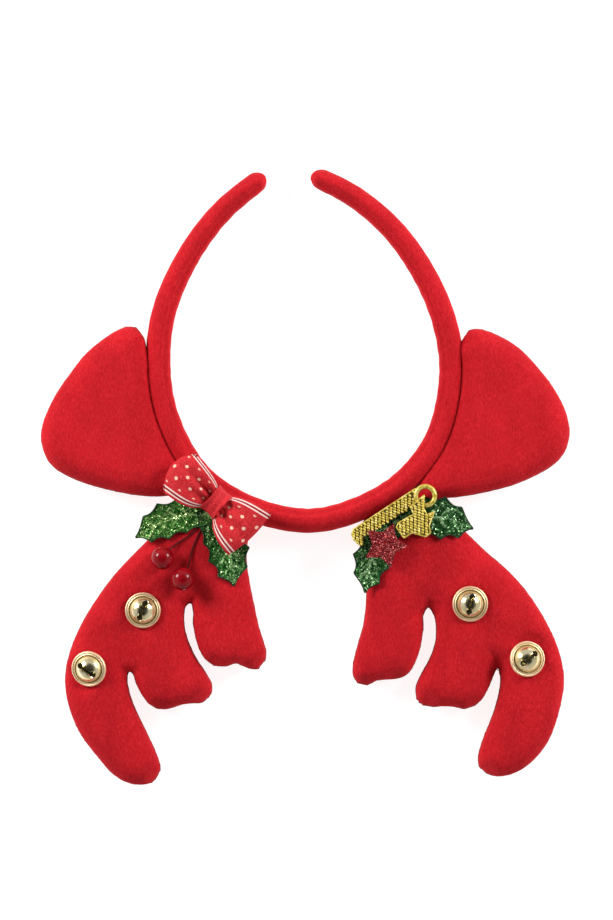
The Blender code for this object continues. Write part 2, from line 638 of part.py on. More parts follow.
def make_bow(group, material):
    """Ribbon sewn to a belt, gathered at its waist over the band and lying on the leaves in two loops."""
    waist_low = BAND_DEPTH + SEAT_GAP + KNOT_WALL + SEAT_GAP + RIBBON_THICKNESS / 2
    waist_high = waist_low + BOW_WAIST_LIFT
    climb = TRIM_FLOOR + RIBBON_THICKNESS / 2 - waist_low
    left = math.radians(BOW_LEFT_ANGLE)
    right = math.radians(BOW_RIGHT_ANGLE)
    belt = []
    for angle, reach, across in ((right, BOW_RIGHT_REACH, right), (left, BOW_LEFT_REACH, left + math.pi)):
        upper = []
        lower = []
        for out, climbed, low, high, widened in BOW_LOOP:
            width = BOW_WAIST_WIDTH + (RIBBON_WIDTH - BOW_WAIST_WIDTH) * widened
            upper_height = waist_high + climb * climbed + BOW_LOFT * high
            lower_height = waist_low + climb * climbed + BOW_LOFT * low
            upper.append(bow_row(reach * out, angle, across, width, upper_height))
            lower.append(bow_row(reach * out, angle, across, width, lower_height))
        belt.append([*upper, *reversed(lower[:-1])])
    right_loop, left_loop = belt
    lengthwise = (left - math.pi + right) / 2
    top = bow_row(0.0, 0.0, lengthwise, BOW_WAIST_WIDTH, waist_high)
    bottom = bow_row(0.0, 0.0, lengthwise, BOW_WAIST_WIDTH, waist_low)
    belt = [top, *right_loop, bottom, *reversed(left_loop)]
    bm = bmesh.new()
    verts = [[bm.verts.new(place) for place in row] for row in belt]
    for near, far in zip(verts, [*verts[1:], verts[0]]):
        for i in range(len(RIBBON_COLUMNS) - 1):
            bm.faces.new((near[i], near[i + 1], far[i + 1], far[i]))
    bow = add_node("bow", mesh_from("bow", bm, 60.0), material, group)
    wall = bow.modifiers.new("wall", "SOLIDIFY")
    wall.thickness = RIBBON_THICKNESS
    wall.offset = 0.0
    bow.location = antler_frame(ANTLER_LEFT_ROOT, BOW_PLACE, 0.0).translation
    return lengthwise, waist_low, waist_high


def make_knot(lengthwise, waist_low, waist_high, group, material):
    """Short piece of ribbon wrapped round the bow's waist, a little fuller at its ends."""
    low = waist_low - RIBBON_THICKNESS / 2 - SEAT_GAP
    high = waist_high + RIBBON_THICKNESS / 2 + SEAT_GAP * 2
    corner = (high - low) * KNOT_CORNER_SHARE
    bm = bmesh.new()
    loops = []
    for share, fullness in KNOT_ROWS:
        top = high + (high - low) * KNOT_SWELL_SHARE * fullness
        wide = BOW_WAIST_WIDTH / 2 + SEAT_GAP * (3 + 2 * fullness)
        section = (
            (-wide, low + corner), (corner - wide, low), (0.0, low), (wide - corner, low), (wide, low + corner),
            (wide, high - corner), (wide - corner, top), (0.0, top), (corner - wide, top), (-wide, high - corner),
        )  # fmt: skip
        loops.append([bm.verts.new((share * KNOT_LENGTH, across, height)) for across, height in section])
    for near, far in zip(loops, loops[1:]):
        for i in range(len(near)):
            j = (i + 1) % len(near)
            bm.faces.new((near[i], near[j], far[j], far[i]))
    knot = add_node("bow_knot", mesh_from("bow_knot", bm, 60.0), material, group)
    wall = knot.modifiers.new("wall", "SOLIDIFY")
    wall.thickness = KNOT_WALL
    wall.offset = 1.0
    knot.location = antler_frame(ANTLER_LEFT_ROOT, BOW_PLACE, 0.0).translation
    knot.rotation_euler.z = lengthwise


def make_cane(group, material):
    """Straight stick that curls into a closed ring at its top, with a short hooked foot."""
    ring = CANE_RING_RADIUS
    low_side = ring - CANE_WIDTH
    sweep = math.pi * 1.5 + math.asin(low_side / ring)
    outline = []
    for i in range(17):
        turn = math.pi / 2 - sweep * i / 16
        outline.append((CANE_LENGTH + ring * math.cos(turn), ring * math.sin(turn)))
    outline += [(along * CANE_WIDTH, low_side + up * CANE_WIDTH) for along, up in CANE_FOOT]
    hole = []
    for i in range(14):
        turn = math.tau * i / 14
        hole.append((CANE_LENGTH + CANE_HOLE_RADIUS * math.cos(turn), CANE_HOLE_RADIUS * math.sin(turn)))
    cane = flat_plate("gold_cane", [outline, hole], CANE_THICKNESS, group, material)
    turned = Matrix.Rotation(math.radians(CANE_HEADING), 4, "Z")
    cane.matrix_world = antler_frame(ANTLER_RIGHT_ROOT, CANE_PLACE, TRIM_FLOOR) @ turned


def make_red_star(group, material):
    """Five-pointed plate star, laid on the cane's foot."""
    outline = []
    for i in range(10):
        radius = RED_STAR_NOTCH_RADIUS if i % 2 else RED_STAR_RADIUS
        turn = math.tau * i / 10
        outline.append((radius * math.cos(turn), radius * math.sin(turn)))
    star = flat_plate("red_star", [outline], STAR_THICKNESS, group, material)
    star.location = antler_frame(ANTLER_RIGHT_ROOT, RED_STAR_PLACE, STAR_FLOOR).translation
    star.rotation_euler.z = math.radians(RED_STAR_TURN)


def make_gold_star(group, material):
    """Irregular gold star, laid across the cane's ring."""
    outline = [(x * GOLD_STAR_RADIUS, y * GOLD_STAR_RADIUS) for x, y in GOLD_STAR_EDGE]
    star = flat_plate("gold_star", [outline], STAR_THICKNESS, group, material)
    star.matrix_world = antler_frame(ANTLER_RIGHT_ROOT, GOLD_STAR_PLACE, STAR_FLOOR)


def centre_on_origin(group):
    """Moves the whole object so that its box stands centred on the origin."""
    bpy.context.view_layer.update()
    graph = bpy.context.evaluated_depsgraph_get()
    corners = []
    for node in group.objects:
        solid = node.evaluated_get(graph)
        mesh = solid.to_mesh()
        corners += [node.matrix_world @ v.co for v in mesh.vertices]
        solid.to_mesh_clear()
    low = Vector(tuple(min(c[axis] for c in corners) for axis in range(3)))
    high = Vector(tuple(max(c[axis] for c in corners) for axis in range(3)))
    shift = Matrix.Translation((-(low.x + high.x) / 2, -(low.y + high.y) / 2, -low.z))
    for node in bpy.data.objects:
        node.matrix_world = shift @ node.matrix_world


def main():
    clear_scene()
    group = new_collection("reindeer_antler_headband")
    guides = new_collection("cutters")
    red_fabric = make_material("red_fabric", (0.62, 0.012, 0.022), 0.9)
    ribbon = make_material("ribbon", (0.68, 0.015, 0.025), 0.7)
    gold = make_material("bell_gold", (0.86, 0.63, 0.30), 0.18, 1.0)
    steel = make_material("pellet_steel", (0.5, 0.5, 0.5), 0.4, 1.0)
    green = make_material("leaf_green", (0.03, 0.22, 0.05), 0.4)
    berry_red = make_material("berry_red", (0.35, 0.004, 0.008), 0.15)
    wire = make_material("stem_wire", (0.30, 0.06, 0.03), 0.5)
    gold_glitter = make_material("gold_glitter", (0.62, 0.48, 0.12), 0.4, 0.7)
    red_glitter = make_material("red_glitter", (0.50, 0.03, 0.04), 0.4, 0.4)

    make_headband(group, guides, red_fabric)
    for name, root, edge in (
        ("ear_left", EAR_LEFT_ROOT, EAR_LEFT_EDGE),
        ("ear_right", EAR_RIGHT_ROOT, EAR_RIGHT_EDGE),
    ):
        outline = sewn_outline(root, edge, EAR_REACH, EAR_LENGTH)
        make_padded(name, outline, EAR_THICKNESS, EAR_EDGE_ROUND, [], group, red_fabric)
    for name, root, edge in (
        ("antler_left", ANTLER_LEFT_ROOT, ANTLER_LEFT_EDGE),
        ("antler_right", ANTLER_RIGHT_ROOT, ANTLER_RIGHT_EDGE),
    ):
        outline = sewn_outline(root, edge, ANTLER_LENGTH, ANTLER_SPREAD)
        dents = [
            bell_seat(root, out, along, lean, direction)
            for _, owner, out, along, _, lean, direction in BELLS
            if owner == root
        ]
        make_padded(name, outline, ANTLER_THICKNESS, ANTLER_EDGE_ROUND, dents, group, red_fabric)
    for row in BELLS:
        make_bell(row, group, guides, gold, steel)
    for row in LEAVES:
        make_leaf(*row, group, green)
    for row in BERRIES:
        make_berry(*row, group, berry_red, wire)
    make_knot(*make_bow(group, ribbon), group, ribbon)
    make_cane(group, gold_glitter)
    make_red_star(group, red_glitter)
    make_gold_star(group, gold_glitter)
    centre_on_origin(group)


main()
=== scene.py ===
import math
import random

import bmesh
import bpy
import numpy as np
from mathutils import Matrix, Vector
from mathutils.bvhtree import BVHTree
from mathutils.kdtree import KDTree


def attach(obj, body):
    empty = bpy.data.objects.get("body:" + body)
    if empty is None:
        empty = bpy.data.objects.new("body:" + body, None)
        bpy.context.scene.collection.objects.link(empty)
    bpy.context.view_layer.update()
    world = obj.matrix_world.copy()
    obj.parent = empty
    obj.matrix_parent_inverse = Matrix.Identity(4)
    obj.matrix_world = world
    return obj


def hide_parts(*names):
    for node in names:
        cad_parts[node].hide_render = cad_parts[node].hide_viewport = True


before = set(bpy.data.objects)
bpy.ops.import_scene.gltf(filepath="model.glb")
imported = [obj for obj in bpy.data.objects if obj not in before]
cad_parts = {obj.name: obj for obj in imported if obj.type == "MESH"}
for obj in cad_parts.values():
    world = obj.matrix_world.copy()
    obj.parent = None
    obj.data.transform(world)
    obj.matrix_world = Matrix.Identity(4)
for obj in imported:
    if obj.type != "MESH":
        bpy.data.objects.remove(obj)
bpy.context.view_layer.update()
MM = 0.001

# White sweep under the headband, which is photographed from straight above. Two large soft boxes stand low
# on either side, a little towards the open end of the hoop, and the room fills in the rest.
VIEW_HEIGHT = 0.3842
LENS = 100.0
SENSOR = 36.0
VIEW_CENTRE = (0.0005, 0.0069)
FOCUS_HEIGHT = 0.012
SOFT_BOXES = (("left", 151.0, 27.0, 7.4), ("right", 27.0, 27.0, 7.0))
SOFT_BOX_SIZE = 0.36
SOFT_BOX_DISTANCE = 0.92
ROOM_RAMP = ((0.62, (0.70, 0.70, 0.71, 1.0)), (0.84, (0.06, 0.06, 0.062, 1.0)))
ROOM_STRENGTH = 0.85
FLOOR_TONE = 0.36
FLOOR_GLOW = 0.86


def new_piece(name, data):
    """A new object in the scene."""
    piece = bpy.data.objects.new(name, data)
    bpy.context.scene.collection.objects.link(piece)
    return piece

view = bpy.data.cameras.new("camera")
view.lens = LENS
view.sensor_fit = "VERTICAL"
view.sensor_height = SENSOR
view.clip_end = 10.0
camera = new_piece("camera", view)
camera.location = (*VIEW_CENTRE, FOCUS_HEIGHT + VIEW_HEIGHT * LENS / SENSOR)
bpy.context.scene.camera = camera
bpy.context.scene.view_settings.view_transform = "Standard"

for side, azimuth, elevation, power in SOFT_BOXES:
    lamp = bpy.data.lights.new("soft_box_" + side, "AREA")
    lamp.energy = power
    lamp.size = SOFT_BOX_SIZE
    box = new_piece("soft_box_" + side, lamp)
    turn, rise = math.radians(azimuth), math.radians(elevation)
    away = Vector((math.cos(rise) * math.cos(turn), math.cos(rise) * math.sin(turn), math.sin(rise)))
    box.location = away * SOFT_BOX_DISTANCE
    box.rotation_euler = away.to_track_quat("Z", "Y").to_euler()

room = bpy.data.worlds.new("room")
room.use_nodes = True
bpy.context.scene.world = room
sky = room.node_tree.nodes
height = sky.new("ShaderNodeSeparateXYZ")
coords = sky.new("ShaderNodeTexCoord")
shade = sky.new("ShaderNodeValToRGB")
for element, (position, colour) in zip(shade.color_ramp.elements, ROOM_RAMP):
    element.position = position
    element.color = colour
room.node_tree.links.new(coords.outputs["Generated"], height.inputs[0])
room.node_tree.links.new(height.outputs["Z"], shade.inputs[0])
room.node_tree.links.new(shade.outputs[0], sky["Background"].inputs["Color"])
sky["Background"].inputs["Strength"].default_value = ROOM_STRENGTH

bpy.ops.mesh.primitive_plane_add(size=6.0)
floor = bpy.context.object
floor.name = "floor"
paper = bpy.data.materials.new("white_paper")
paper.use_nodes = True
sheet = paper.node_tree.nodes["Principled BSDF"]
sheet.inputs["Base Color"].default_value = (FLOOR_TONE, FLOOR_TONE, FLOOR_TONE, 1.0)
sheet.inputs["Roughness"].default_value = 0.9
sheet.inputs["Emission Color"].default_value = (1.0, 1.0, 1.0, 1.0)
sheet.inputs["Emission Strength"].default_value = FLOOR_GLOW
floor.data.materials.append(paper)


# Hoop: a springy strip padded with foam and covered in a tube of brushed red fleece, whose seam runs along
# the inner side. The cloth is closed over both tips by hand.
FLEECE_DEEP = (0.400, 0.0040, 0.0085)
FLEECE_MID = (0.570, 0.0100, 0.0180)
FLEECE_LIGHT = (0.740, 0.0330, 0.0390)
CLOTH_VOXEL = 1.2 * MM
CLOTH_PROUD = 0.6 * MM
CLOTH_EASE = 5
BAND_SMOOTHING = 8
SWELL_FRAMES = 20
SWELL_PRESSURE = 4.0
BAND_SWELL = 0.3 * MM
BAND_TAPER = 0.85 * MM
BAND_TAPER_REACH = 95 * MM
BAND_SEAM_DEPTH = 0.5 * MM
HOOP_ROUTE = (
    (-0.276, 0.994), (-0.575, 0.888), (-0.810, 0.750), (-0.966, 0.590), (-0.995, 0.420), (-0.916, 0.271),
    (-0.710, 0.128), (-0.382, 0.038), (0.000, 0.000), (0.330, 0.028), (0.660, 0.106), (0.900, 0.235),
    (0.995, 0.400), (0.968, 0.545), (0.840, 0.690), (0.620, 0.830), (0.340, 0.934), (0.051, 0.997),
)  # fmt: skip
HOOP_WIDTH = 123.5 * MM
HOOP_HEIGHT = 145.7 * MM
HOOP_SHIFT = Vector((-0.21 * MM, -18.68 * MM, 6.0 * MM))
BAND_THICKNESS = 9.2 * MM


def only(piece):
    """Selects one piece and nothing else."""
    if bpy.context.mode != "OBJECT":
        bpy.ops.object.mode_set(mode="OBJECT")
    bpy.ops.object.select_all(action="DESELECT")
    piece.select_set(True)
    bpy.context.view_layer.objects.active = piece


def apply_all(piece):
    only(piece)
    for modifier in list(piece.modifiers):
        bpy.ops.object.modifier_apply(modifier=modifier.name)


def settle(piece):
    """Moves a piece's place into its mesh, so that its object sits at the origin."""
    only(piece)
    bpy.ops.object.transform_apply(location=True, rotation=True, scale=True)


def weld(piece, merge=0.0, aim=True):
    """Merges corners that lie closer than a distance, and turns the faces outward."""
    only(piece)
    bpy.ops.object.mode_set(mode="EDIT")
    bpy.ops.mesh.select_all(action="SELECT")
    if merge:
        bpy.ops.mesh.remove_doubles(threshold=merge)
    if aim:
        bpy.ops.mesh.normals_make_consistent(inside=False)
    bpy.ops.object.mode_set(mode="OBJECT")


def spots(piece):
    """Corners of a piece's mesh as an array."""
    flat = np.empty(len(piece.data.vertices) * 3)
    piece.data.vertices.foreach_get("co", flat)
    return flat.reshape(-1, 3)


def put(piece, corners):
    piece.data.vertices.foreach_set("co", corners.ravel())
    piece.data.update()


def outward(piece):
    """Unit normals at a piece's corners."""
    flat = np.empty(len(piece.data.vertices) * 3)
    piece.data.vertex_normals.foreach_get("vector", flat)
    return flat.reshape(-1, 3)


def finish_piece(piece, material, slot, *nodes, body="root"):
    """Gives a finished piece its material and its body, and hides the CAD nodes that it stands for; slot is
    not used.
    """
    if material is not None:
        piece.data.materials.clear()
        piece.data.materials.append(material)
    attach(piece, body)
    if nodes:
        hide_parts(*nodes)


def principled(name, colour, roughness, metallic=0.0, **sockets):
    """New material with a plain Principled shader; the socket names have _ for a space."""
    material = bpy.data.materials.new(name)
    material.use_nodes = True
    shader = material.node_tree.nodes["Principled BSDF"]
    shader.inputs["Base Color"].default_value = (*colour, 1.0)
    shader.inputs["Roughness"].default_value = roughness
    shader.inputs["Metallic"].default_value = metallic
    for socket, value in sockets.items():
        shader.inputs[socket.replace("_", " ")].default_value = value
    return material


def add(material, kind, **settings):
    """A new shader node with its settings."""
    node = material.node_tree.nodes.new("ShaderNode" + kind)
    for name, value in settings.items():
        setattr(node, name, value)
    return node


def plug(material, value, socket):
    """Sets a socket to a number or a colour, or links it to a source."""
    if isinstance(value, (int, float)):
        socket.default_value = value
    elif isinstance(value, tuple):
        socket.default_value = (*value, 1.0)
    else:
        material.node_tree.links.new(value, socket)


def noise_at(material, scale, stretch=(1.0, 1.0, 1.0), detail=3.0, turn=0.0):
    """Noise that reads Object coordinates, stretched along one of the axes."""
    mapping = add(material, "Mapping")
    mapping.inputs["Scale"].default_value = stretch
    mapping.inputs["Rotation"].default_value = (0.0, 0.0, turn)
    plug(material, add(material, "TexCoord").outputs["Object"], mapping.inputs["Vector"])
    noise = add(material, "TexNoise")
    for name, value in (("Scale", scale), ("Detail", detail), ("Vector", mapping.outputs["Vector"])):
        plug(material, value, noise.inputs[name])
    return noise.outputs["Fac"]


def ramp(material, source, *stops):
    """Colours between positions along a value: (position, colour) pairs."""
    node = add(material, "ValToRGB")
    plug(material, source, node.inputs["Fac"])
    while len(node.color_ramp.elements) < len(stops):
        node.color_ramp.elements.new(0.5)
    for element, (position, colour) in zip(node.color_ramp.elements, stops):
        element.position = position
        element.color = (*colour, 1.0)
    return node.outputs["Color"]


def mixed(material, factor, first, second, kind="MIX"):
    """Mix of two colours or colour sources; the factor is a number or a source."""
    node = add(material, "Mix", data_type="RGBA", blend_type=kind)
    for i, value in ((0, factor), (6, first), (7, second)):
        plug(material, value, node.inputs[i])
    return node.outputs[2]


def summed(material, first, second=0.0, kind="ADD"):
    """Sum of two numbers or sources, or what another kind of sum makes of them."""
    node = add(material, "Math", operation=kind)
    plug(material, first, node.inputs[0])
    plug(material, second, node.inputs[1])
    return node.outputs[0]


def wear(material, colour=None, bump=None, bump_strength=0.4, bump_depth=0.0003, roughness=None):
    """Plugs colour, relief and roughness sources into a material's shader."""
    shader = material.node_tree.nodes["Principled BSDF"]
    if colour is not None:
        plug(material, colour, shader.inputs["Base Color"])
    if roughness is not None:
        plug(material, roughness, shader.inputs["Roughness"])
    if bump is not None:
        node = add(material, "Bump")
        for name, value in (("Strength", bump_strength), ("Distance", bump_depth), ("Height", bump)):
            plug(material, value, node.inputs[name])
        plug(material, node.outputs["Normal"], shader.inputs["Normal"])
    return material


def make_fleece():
    """Brushed knit: fine upright wales, a soft pile and faint clouding."""
    cloth = principled(
        "red_fleece", FLEECE_MID, 0.93, Sheen_Weight=0.12, Sheen_Roughness=0.4,
        Sheen_Tint=(1.0, 0.35, 0.32, 1.0), Specular_IOR_Level=0.12,
    )  # fmt: skip
    wales = noise_at(cloth, 1700.0, (1.0, 0.34, 0.6), 2.0)
    pile = noise_at(cloth, 3600.0, (1.0, 0.6, 1.0), 3.0)
    clouds = noise_at(cloth, 95.0, (1.0, 0.5, 1.0), 3.0)
    grain = ramp(cloth, wales, (0.26, FLEECE_DEEP), (0.52, FLEECE_MID), (0.82, FLEECE_LIGHT))
    flecks = ramp(cloth, pile, (0.32, FLEECE_DEEP), (0.50, FLEECE_MID), (0.74, FLEECE_LIGHT))
    colour = mixed(cloth, 0.45, grain, flecks)
    tint = ramp(cloth, clouds, (0.35, (0.90, 0.86, 0.88)), (0.65, (1.06, 1.05, 1.04)))
    colour = mixed(cloth, 1.0, colour, tint, "MULTIPLY")
    relief = summed(cloth, summed(cloth, wales, 0.9, "MULTIPLY"), summed(cloth, pile, 0.7, "MULTIPLY"))
    return wear(cloth, colour, relief, 0.75, 0.00034)


def copied(name, node):
    """A new piece with a CAD node's shape, its doubles merged."""
    piece = new_piece(name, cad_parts[node].data.copy())
    weld(piece, 0.00001, aim=False)
    return piece


def swell(piece, most):
    """Blows the cloth up from inside, with no gravity; no corner moves further than most."""
    start = spots(piece)
    cloth = piece.modifiers.new("cloth", "CLOTH")
    cloth.settings.quality = 4
    cloth.settings.use_pressure = True
    cloth.settings.uniform_pressure_force = SWELL_PRESSURE
    cloth.settings.effector_weights.gravity = 0.0
    cloth.point_cache.frame_start = 1
    cloth.point_cache.frame_end = SWELL_FRAMES
    for step in range(1, SWELL_FRAMES + 1):
        bpy.context.scene.frame_set(step)
    only(piece)
    bpy.ops.object.modifier_apply(modifier=cloth.name)
    bpy.context.scene.frame_set(1)
    moved = spots(piece) - start
    length = np.linalg.norm(moved, axis=1, keepdims=True)
    put(piece, start + moved * np.minimum(1.0, most / np.maximum(length, 1e-9)))


def fill_out(piece, node, inset):
    """Brings the cloth out to its CAD shape, less the inset, where smoothing or stuffing left it short."""
    surface = BVHTree.FromObject(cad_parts[node], bpy.context.evaluated_depsgraph_get())
    corners = spots(piece)
    for i, (corner, normal) in enumerate(zip(corners.copy(), outward(piece))):
        way, start = Vector(normal), Vector(corner)
        for ray in ((start - way * 0.01 * MM, way, 4 * MM), (start, -way, 3 * MM)):
            hit, facing, _, _ = surface.ray_cast(*ray)
            if hit is not None and facing.dot(way) > 0.0:
                corners[i] = hit - way * inset
                break
    put(piece, corners)


def relax(piece, iterations):
    """Smooths a piece's corners."""
    smoothing = piece.modifiers.new("relax", "SMOOTH")
    smoothing.factor = 0.5
    smoothing.iterations = iterations
    apply_all(piece)


def soft_copy(name, node, smoothing, start_inset, most):
    """Evenly meshed copy of a padded CAD node, drawn in a little and then blown up to its full shape."""
    piece = copied(name, node)
    remesh = piece.modifiers.new("even", "REMESH")
    remesh.mode = "VOXEL"
    remesh.voxel_size = CLOTH_VOXEL
    relax(piece, smoothing)
    fill_out(piece, node, start_inset)
    swell(piece, most)
    fill_out(piece, node, -CLOTH_PROUD)
    relax(piece, CLOTH_EASE)
    return piece


def refine(piece):
    """Halves the mesh's spacing and shades it smooth."""
    finer = piece.modifiers.new("finer", "SUBSURF")
    finer.levels = finer.render_levels = 1
    apply_all(piece)
    bpy.ops.object.shade_smooth()


def smooth_line(points, steps):
    """Points on a curve through the given points."""
    points = [Vector(p) for p in points]
    padded = [2 * points[0] - points[1], *points, 2 * points[-1] - points[-2]]
    line = []
    for before, start, end, after in zip(padded, padded[1:], padded[2:], padded[3:]):
        for step in range(steps):
            t = step / steps
            square = (2 * before - 5 * start + 4 * end - after) * t**2
            cube = (3 * start - before - 3 * end + after) * t**3
            line.append((2 * start + (end - before) * t + square + cube) / 2)
    return [*line, points[-1]]


def even_line(line, step, closed=False):
    """The same line with points an even distance apart."""
    line = [*line, line[0]] if closed else line
    runs = np.concatenate([[0.0], np.cumsum([(b - a).length for a, b in zip(line, line[1:])])])
    count = max(3, round(runs[-1] / step))
    wanted = np.linspace(0.0, runs[-1], count + 1)
    axes = [np.interp(wanted, runs, [p[axis] for p in line]) for axis in range(3)]
    points = [Vector(p) for p in zip(*axes)]
    return points[:-1] if closed else points


def tube(name, line, radius, material=None, closed=False, sides=6):
    """Round cord along a line of points."""
    data = bpy.data.curves.new(name, "CURVE")
    data.dimensions = "3D"
    data.bevel_depth = radius
    data.bevel_resolution = max(0, sides // 2 - 2)
    data.use_fill_caps = True
    spline = data.splines.new("POLY")
    spline.points.add(len(line) - 1)
    for point, place in zip(spline.points, line):
        point.co = (*place, 1.0)
    spline.use_cyclic_u = closed
    cord = new_piece(name, data)
    only(cord)
    bpy.ops.object.convert(target="MESH")
    cord = bpy.context.object
    weld(cord, 0.000001)
    bpy.ops.object.shade_smooth()
    if material:
        cord.data.materials.append(material)
    return cord


def tree_of(points):
    """Finds the nearest of the given points."""
    tree = KDTree(len(points))
    for i, point in enumerate(points):
        tree.insert(point, i)
    tree.balance()
    return tree


def template(add, **settings):
    """Corners and faces of a small primitive that is repeated many times."""
    bpy.ops.object.select_all(action="DESELECT")
    add(**settings)
    shape = bpy.context.object
    corners = spots(shape)
    faces = [tuple(face.vertices) for face in shape.data.polygons]
    bpy.data.objects.remove(shape, do_unlink=True)
    return corners, faces


def ball(segments, rings, radius=1.0):
    return template(bpy.ops.mesh.primitive_uv_sphere_add, segments=segments, ring_count=rings, radius=radius)


def scattered(name, shape, places, material, tones=None):
    """One piece made of many copies of a small shape; those that have tones of their own are flat chips."""
    corners, faces = shape
    placed = [corners @ np.array(m.to_3x3()).T + np.array(m.translation) for m in places]
    count = len(corners)
    all_faces = [tuple(v + i * count for v in face) for i in range(len(places)) for face in faces]
    mesh = bpy.data.meshes.new(name)
    mesh.from_pydata(np.concatenate(placed).tolist(), [], all_faces)
    mesh.materials.append(material)
    mesh.shade_smooth()
    if tones is not None:
        mesh.shade_flat()
        layer = mesh.attributes.new("tone", "FLOAT", "FACE")
        layer.data.foreach_set("value", np.repeat(tones, len(faces)))
    return new_piece(name, mesh)


def joined(first, *others):
    """Joins pieces into the first one; each keeps its material."""
    only(first)
    for other in others:
        other.select_set(True)
    bpy.ops.object.join()
    return first


fleece = make_fleece()
hoop_points = [Vector((x * HOOP_WIDTH / 2, y * HOOP_HEIGHT, 0.0)) + HOOP_SHIFT for x, y in HOOP_ROUTE]
hoop_line = even_line(smooth_line(hoop_points, 16), 1.0 * MM)

band = soft_copy("hoop_cover", "headband", BAND_SMOOTHING, 0.1 * MM, BAND_SWELL)
hoop_tree = tree_of(hoop_line)
corners = spots(band)
normals = outward(band)
for i, (corner, normal) in enumerate(zip(corners, normals)):
    near, index, _ = hoop_tree.find(corner)
    ahead = hoop_line[min(index + 2, len(hoop_line) - 1)] - hoop_line[max(index - 2, 0)]
    inward = Vector((-ahead.y, ahead.x, 0.0)).normalized()
    facing = Vector(normal).dot(inward)
    upper_inner = Vector(normal).dot((inward * 0.62 + Vector((0.0, 0.0, 0.78))).normalized())
    end = min(index, len(hoop_line) - 1 - index) * MM
    slim = BAND_TAPER * max(0.0, 1.0 - end / BAND_TAPER_REACH) ** 1.3
    pucker = max(0.0, facing) ** 3 * 0.07 * MM * math.sin(index * 0.85 + 1.7 * math.sin(index * 0.13))
    groove = BAND_SEAM_DEPTH * math.exp(-(((1.0 - upper_inner) / 0.012) ** 2))
    lift = BAND_SEAM_DEPTH * 0.6 * math.exp(-(((upper_inner - 0.90) / 0.05) ** 2)) * (facing > 0.3)
    corners[i] += normal * (pucker - groove + lift - slim * abs(facing) ** 0.5)
corners[:, 2] = np.maximum(corners[:, 2], 0.0)
put(band, corners)
refine(band)
finish_piece(band, fleece, "red_fabric", "headband")


# Ears and antlers: two fleece panels each, seamed round the edge, turned and stuffed, then sewn along the
# outer side of the hoop. Each bell is pulled down into the stuffing by its thread.
PAD_SMOOTHING = 5
PAD_INSET = 0.7 * MM
PAD_SWELL = 1.6 * MM
EAR_PULL = 1.3 * MM
EAR_PULL_REACH = 3.5 * MM
RING_CORNER = (49.5 * MM, -7.0 * MM)
VALLEYS = (
    # antler, start x, y at the notch, end x, y, depth, half width
    ("antler_left", -48.4, -51.0, -57.0, -26.0, 3.4, 7.0),
    ("antler_left", -73.9, -79.5, -79.0, -60.0, 2.8, 6.5),
    ("antler_right", 51.5, -56.0, 56.0, -30.0, 3.0, 7.0),
    ("antler_right", 80.5, -81.0, 80.0, -60.0, 2.8, 6.5),
)
BELLS = (
    # name, antler, x, y, slot angle, lean, lean direction
    ("bell_1", "antler_left", -67.63, -55.66, 68.6, 0.0, 0.0),
    ("bell_2", "antler_left", -90.10, -80.03, -33.6, 14.0, 205.0),
    ("bell_3", "antler_right", 68.66, -53.02, 78.7, 0.0, 0.0),
    ("bell_4", "antler_right", 92.43, -75.95, 38.9, 12.0, 37.0),
)
BELL_HEIGHT = 14.9 * MM
BELL_BOWL_RADIUS = 7.5 * MM
BOWL_HOLLOW = 2.6 * MM
DIMPLE_DROP = 0.95 * MM
DIMPLE_REACH = 7.9 * MM
DIMPLE_SLOPE = 0.42
DIMPLE_CURVE = 0.045
DIMPLE_EASE = 0.35 * MM
DIMPLE_LIMIT = 22.0 * MM
SEAM_REACH = 2.4 * MM
SEAM_SINK = 0.55 * MM
WELT_RADIUS = 0.22 * MM
WELT_INSET = 0.40 * MM
STITCH_INSET = 0.30 * MM
STITCH_SIZE = (0.17 * MM, 0.85 * MM, 0.17 * MM, 1.0)
STITCH_LEAN = 18.0


def bell_fall(lean, direction):
    """How a leaned bell's rim falls away across X and Y."""
    turn = math.radians(direction)
    return Vector((math.cos(turn), math.sin(turn), 0.0)) * math.tan(math.radians(lean))


def press_bells(piece, node):
    """Draws the cloth down round and under each bell on this antler."""
    corners = spots(piece)
    for _, owner, x, y, _, lean, direction in BELLS:
        if owner != node:
            continue
        fall = bell_fall(lean, direction)
        across = corners[:, :2] - np.array((x * MM, y * MM))
        distance = np.linalg.norm(across, axis=1)
        hollow = np.maximum(0.0, 1.0 - (distance / BELL_BOWL_RADIUS) ** 2) * BOWL_HOLLOW
        plane = BELL_HEIGHT - across @ np.array(fall[:2]) - DIMPLE_DROP - hollow
        wall = np.maximum(0.0, distance - DIMPLE_REACH)
        limit = plane + wall * DIMPLE_SLOPE + (wall / MM) ** 2 * DIMPLE_CURVE * MM
        blend = np.clip(0.5 + (corners[:, 2] - limit) / (2 * DIMPLE_EASE), 0.0, 1.0)
        lowered = corners[:, 2] * (1 - blend) + limit * blend - DIMPLE_EASE * blend * (1 - blend)
        near = (corners[:, 2] > 7.0 * MM) & (distance < DIMPLE_LIMIT)
        corners[near, 2] = np.minimum(corners[near, 2], lowered[near])
    put(piece, corners)


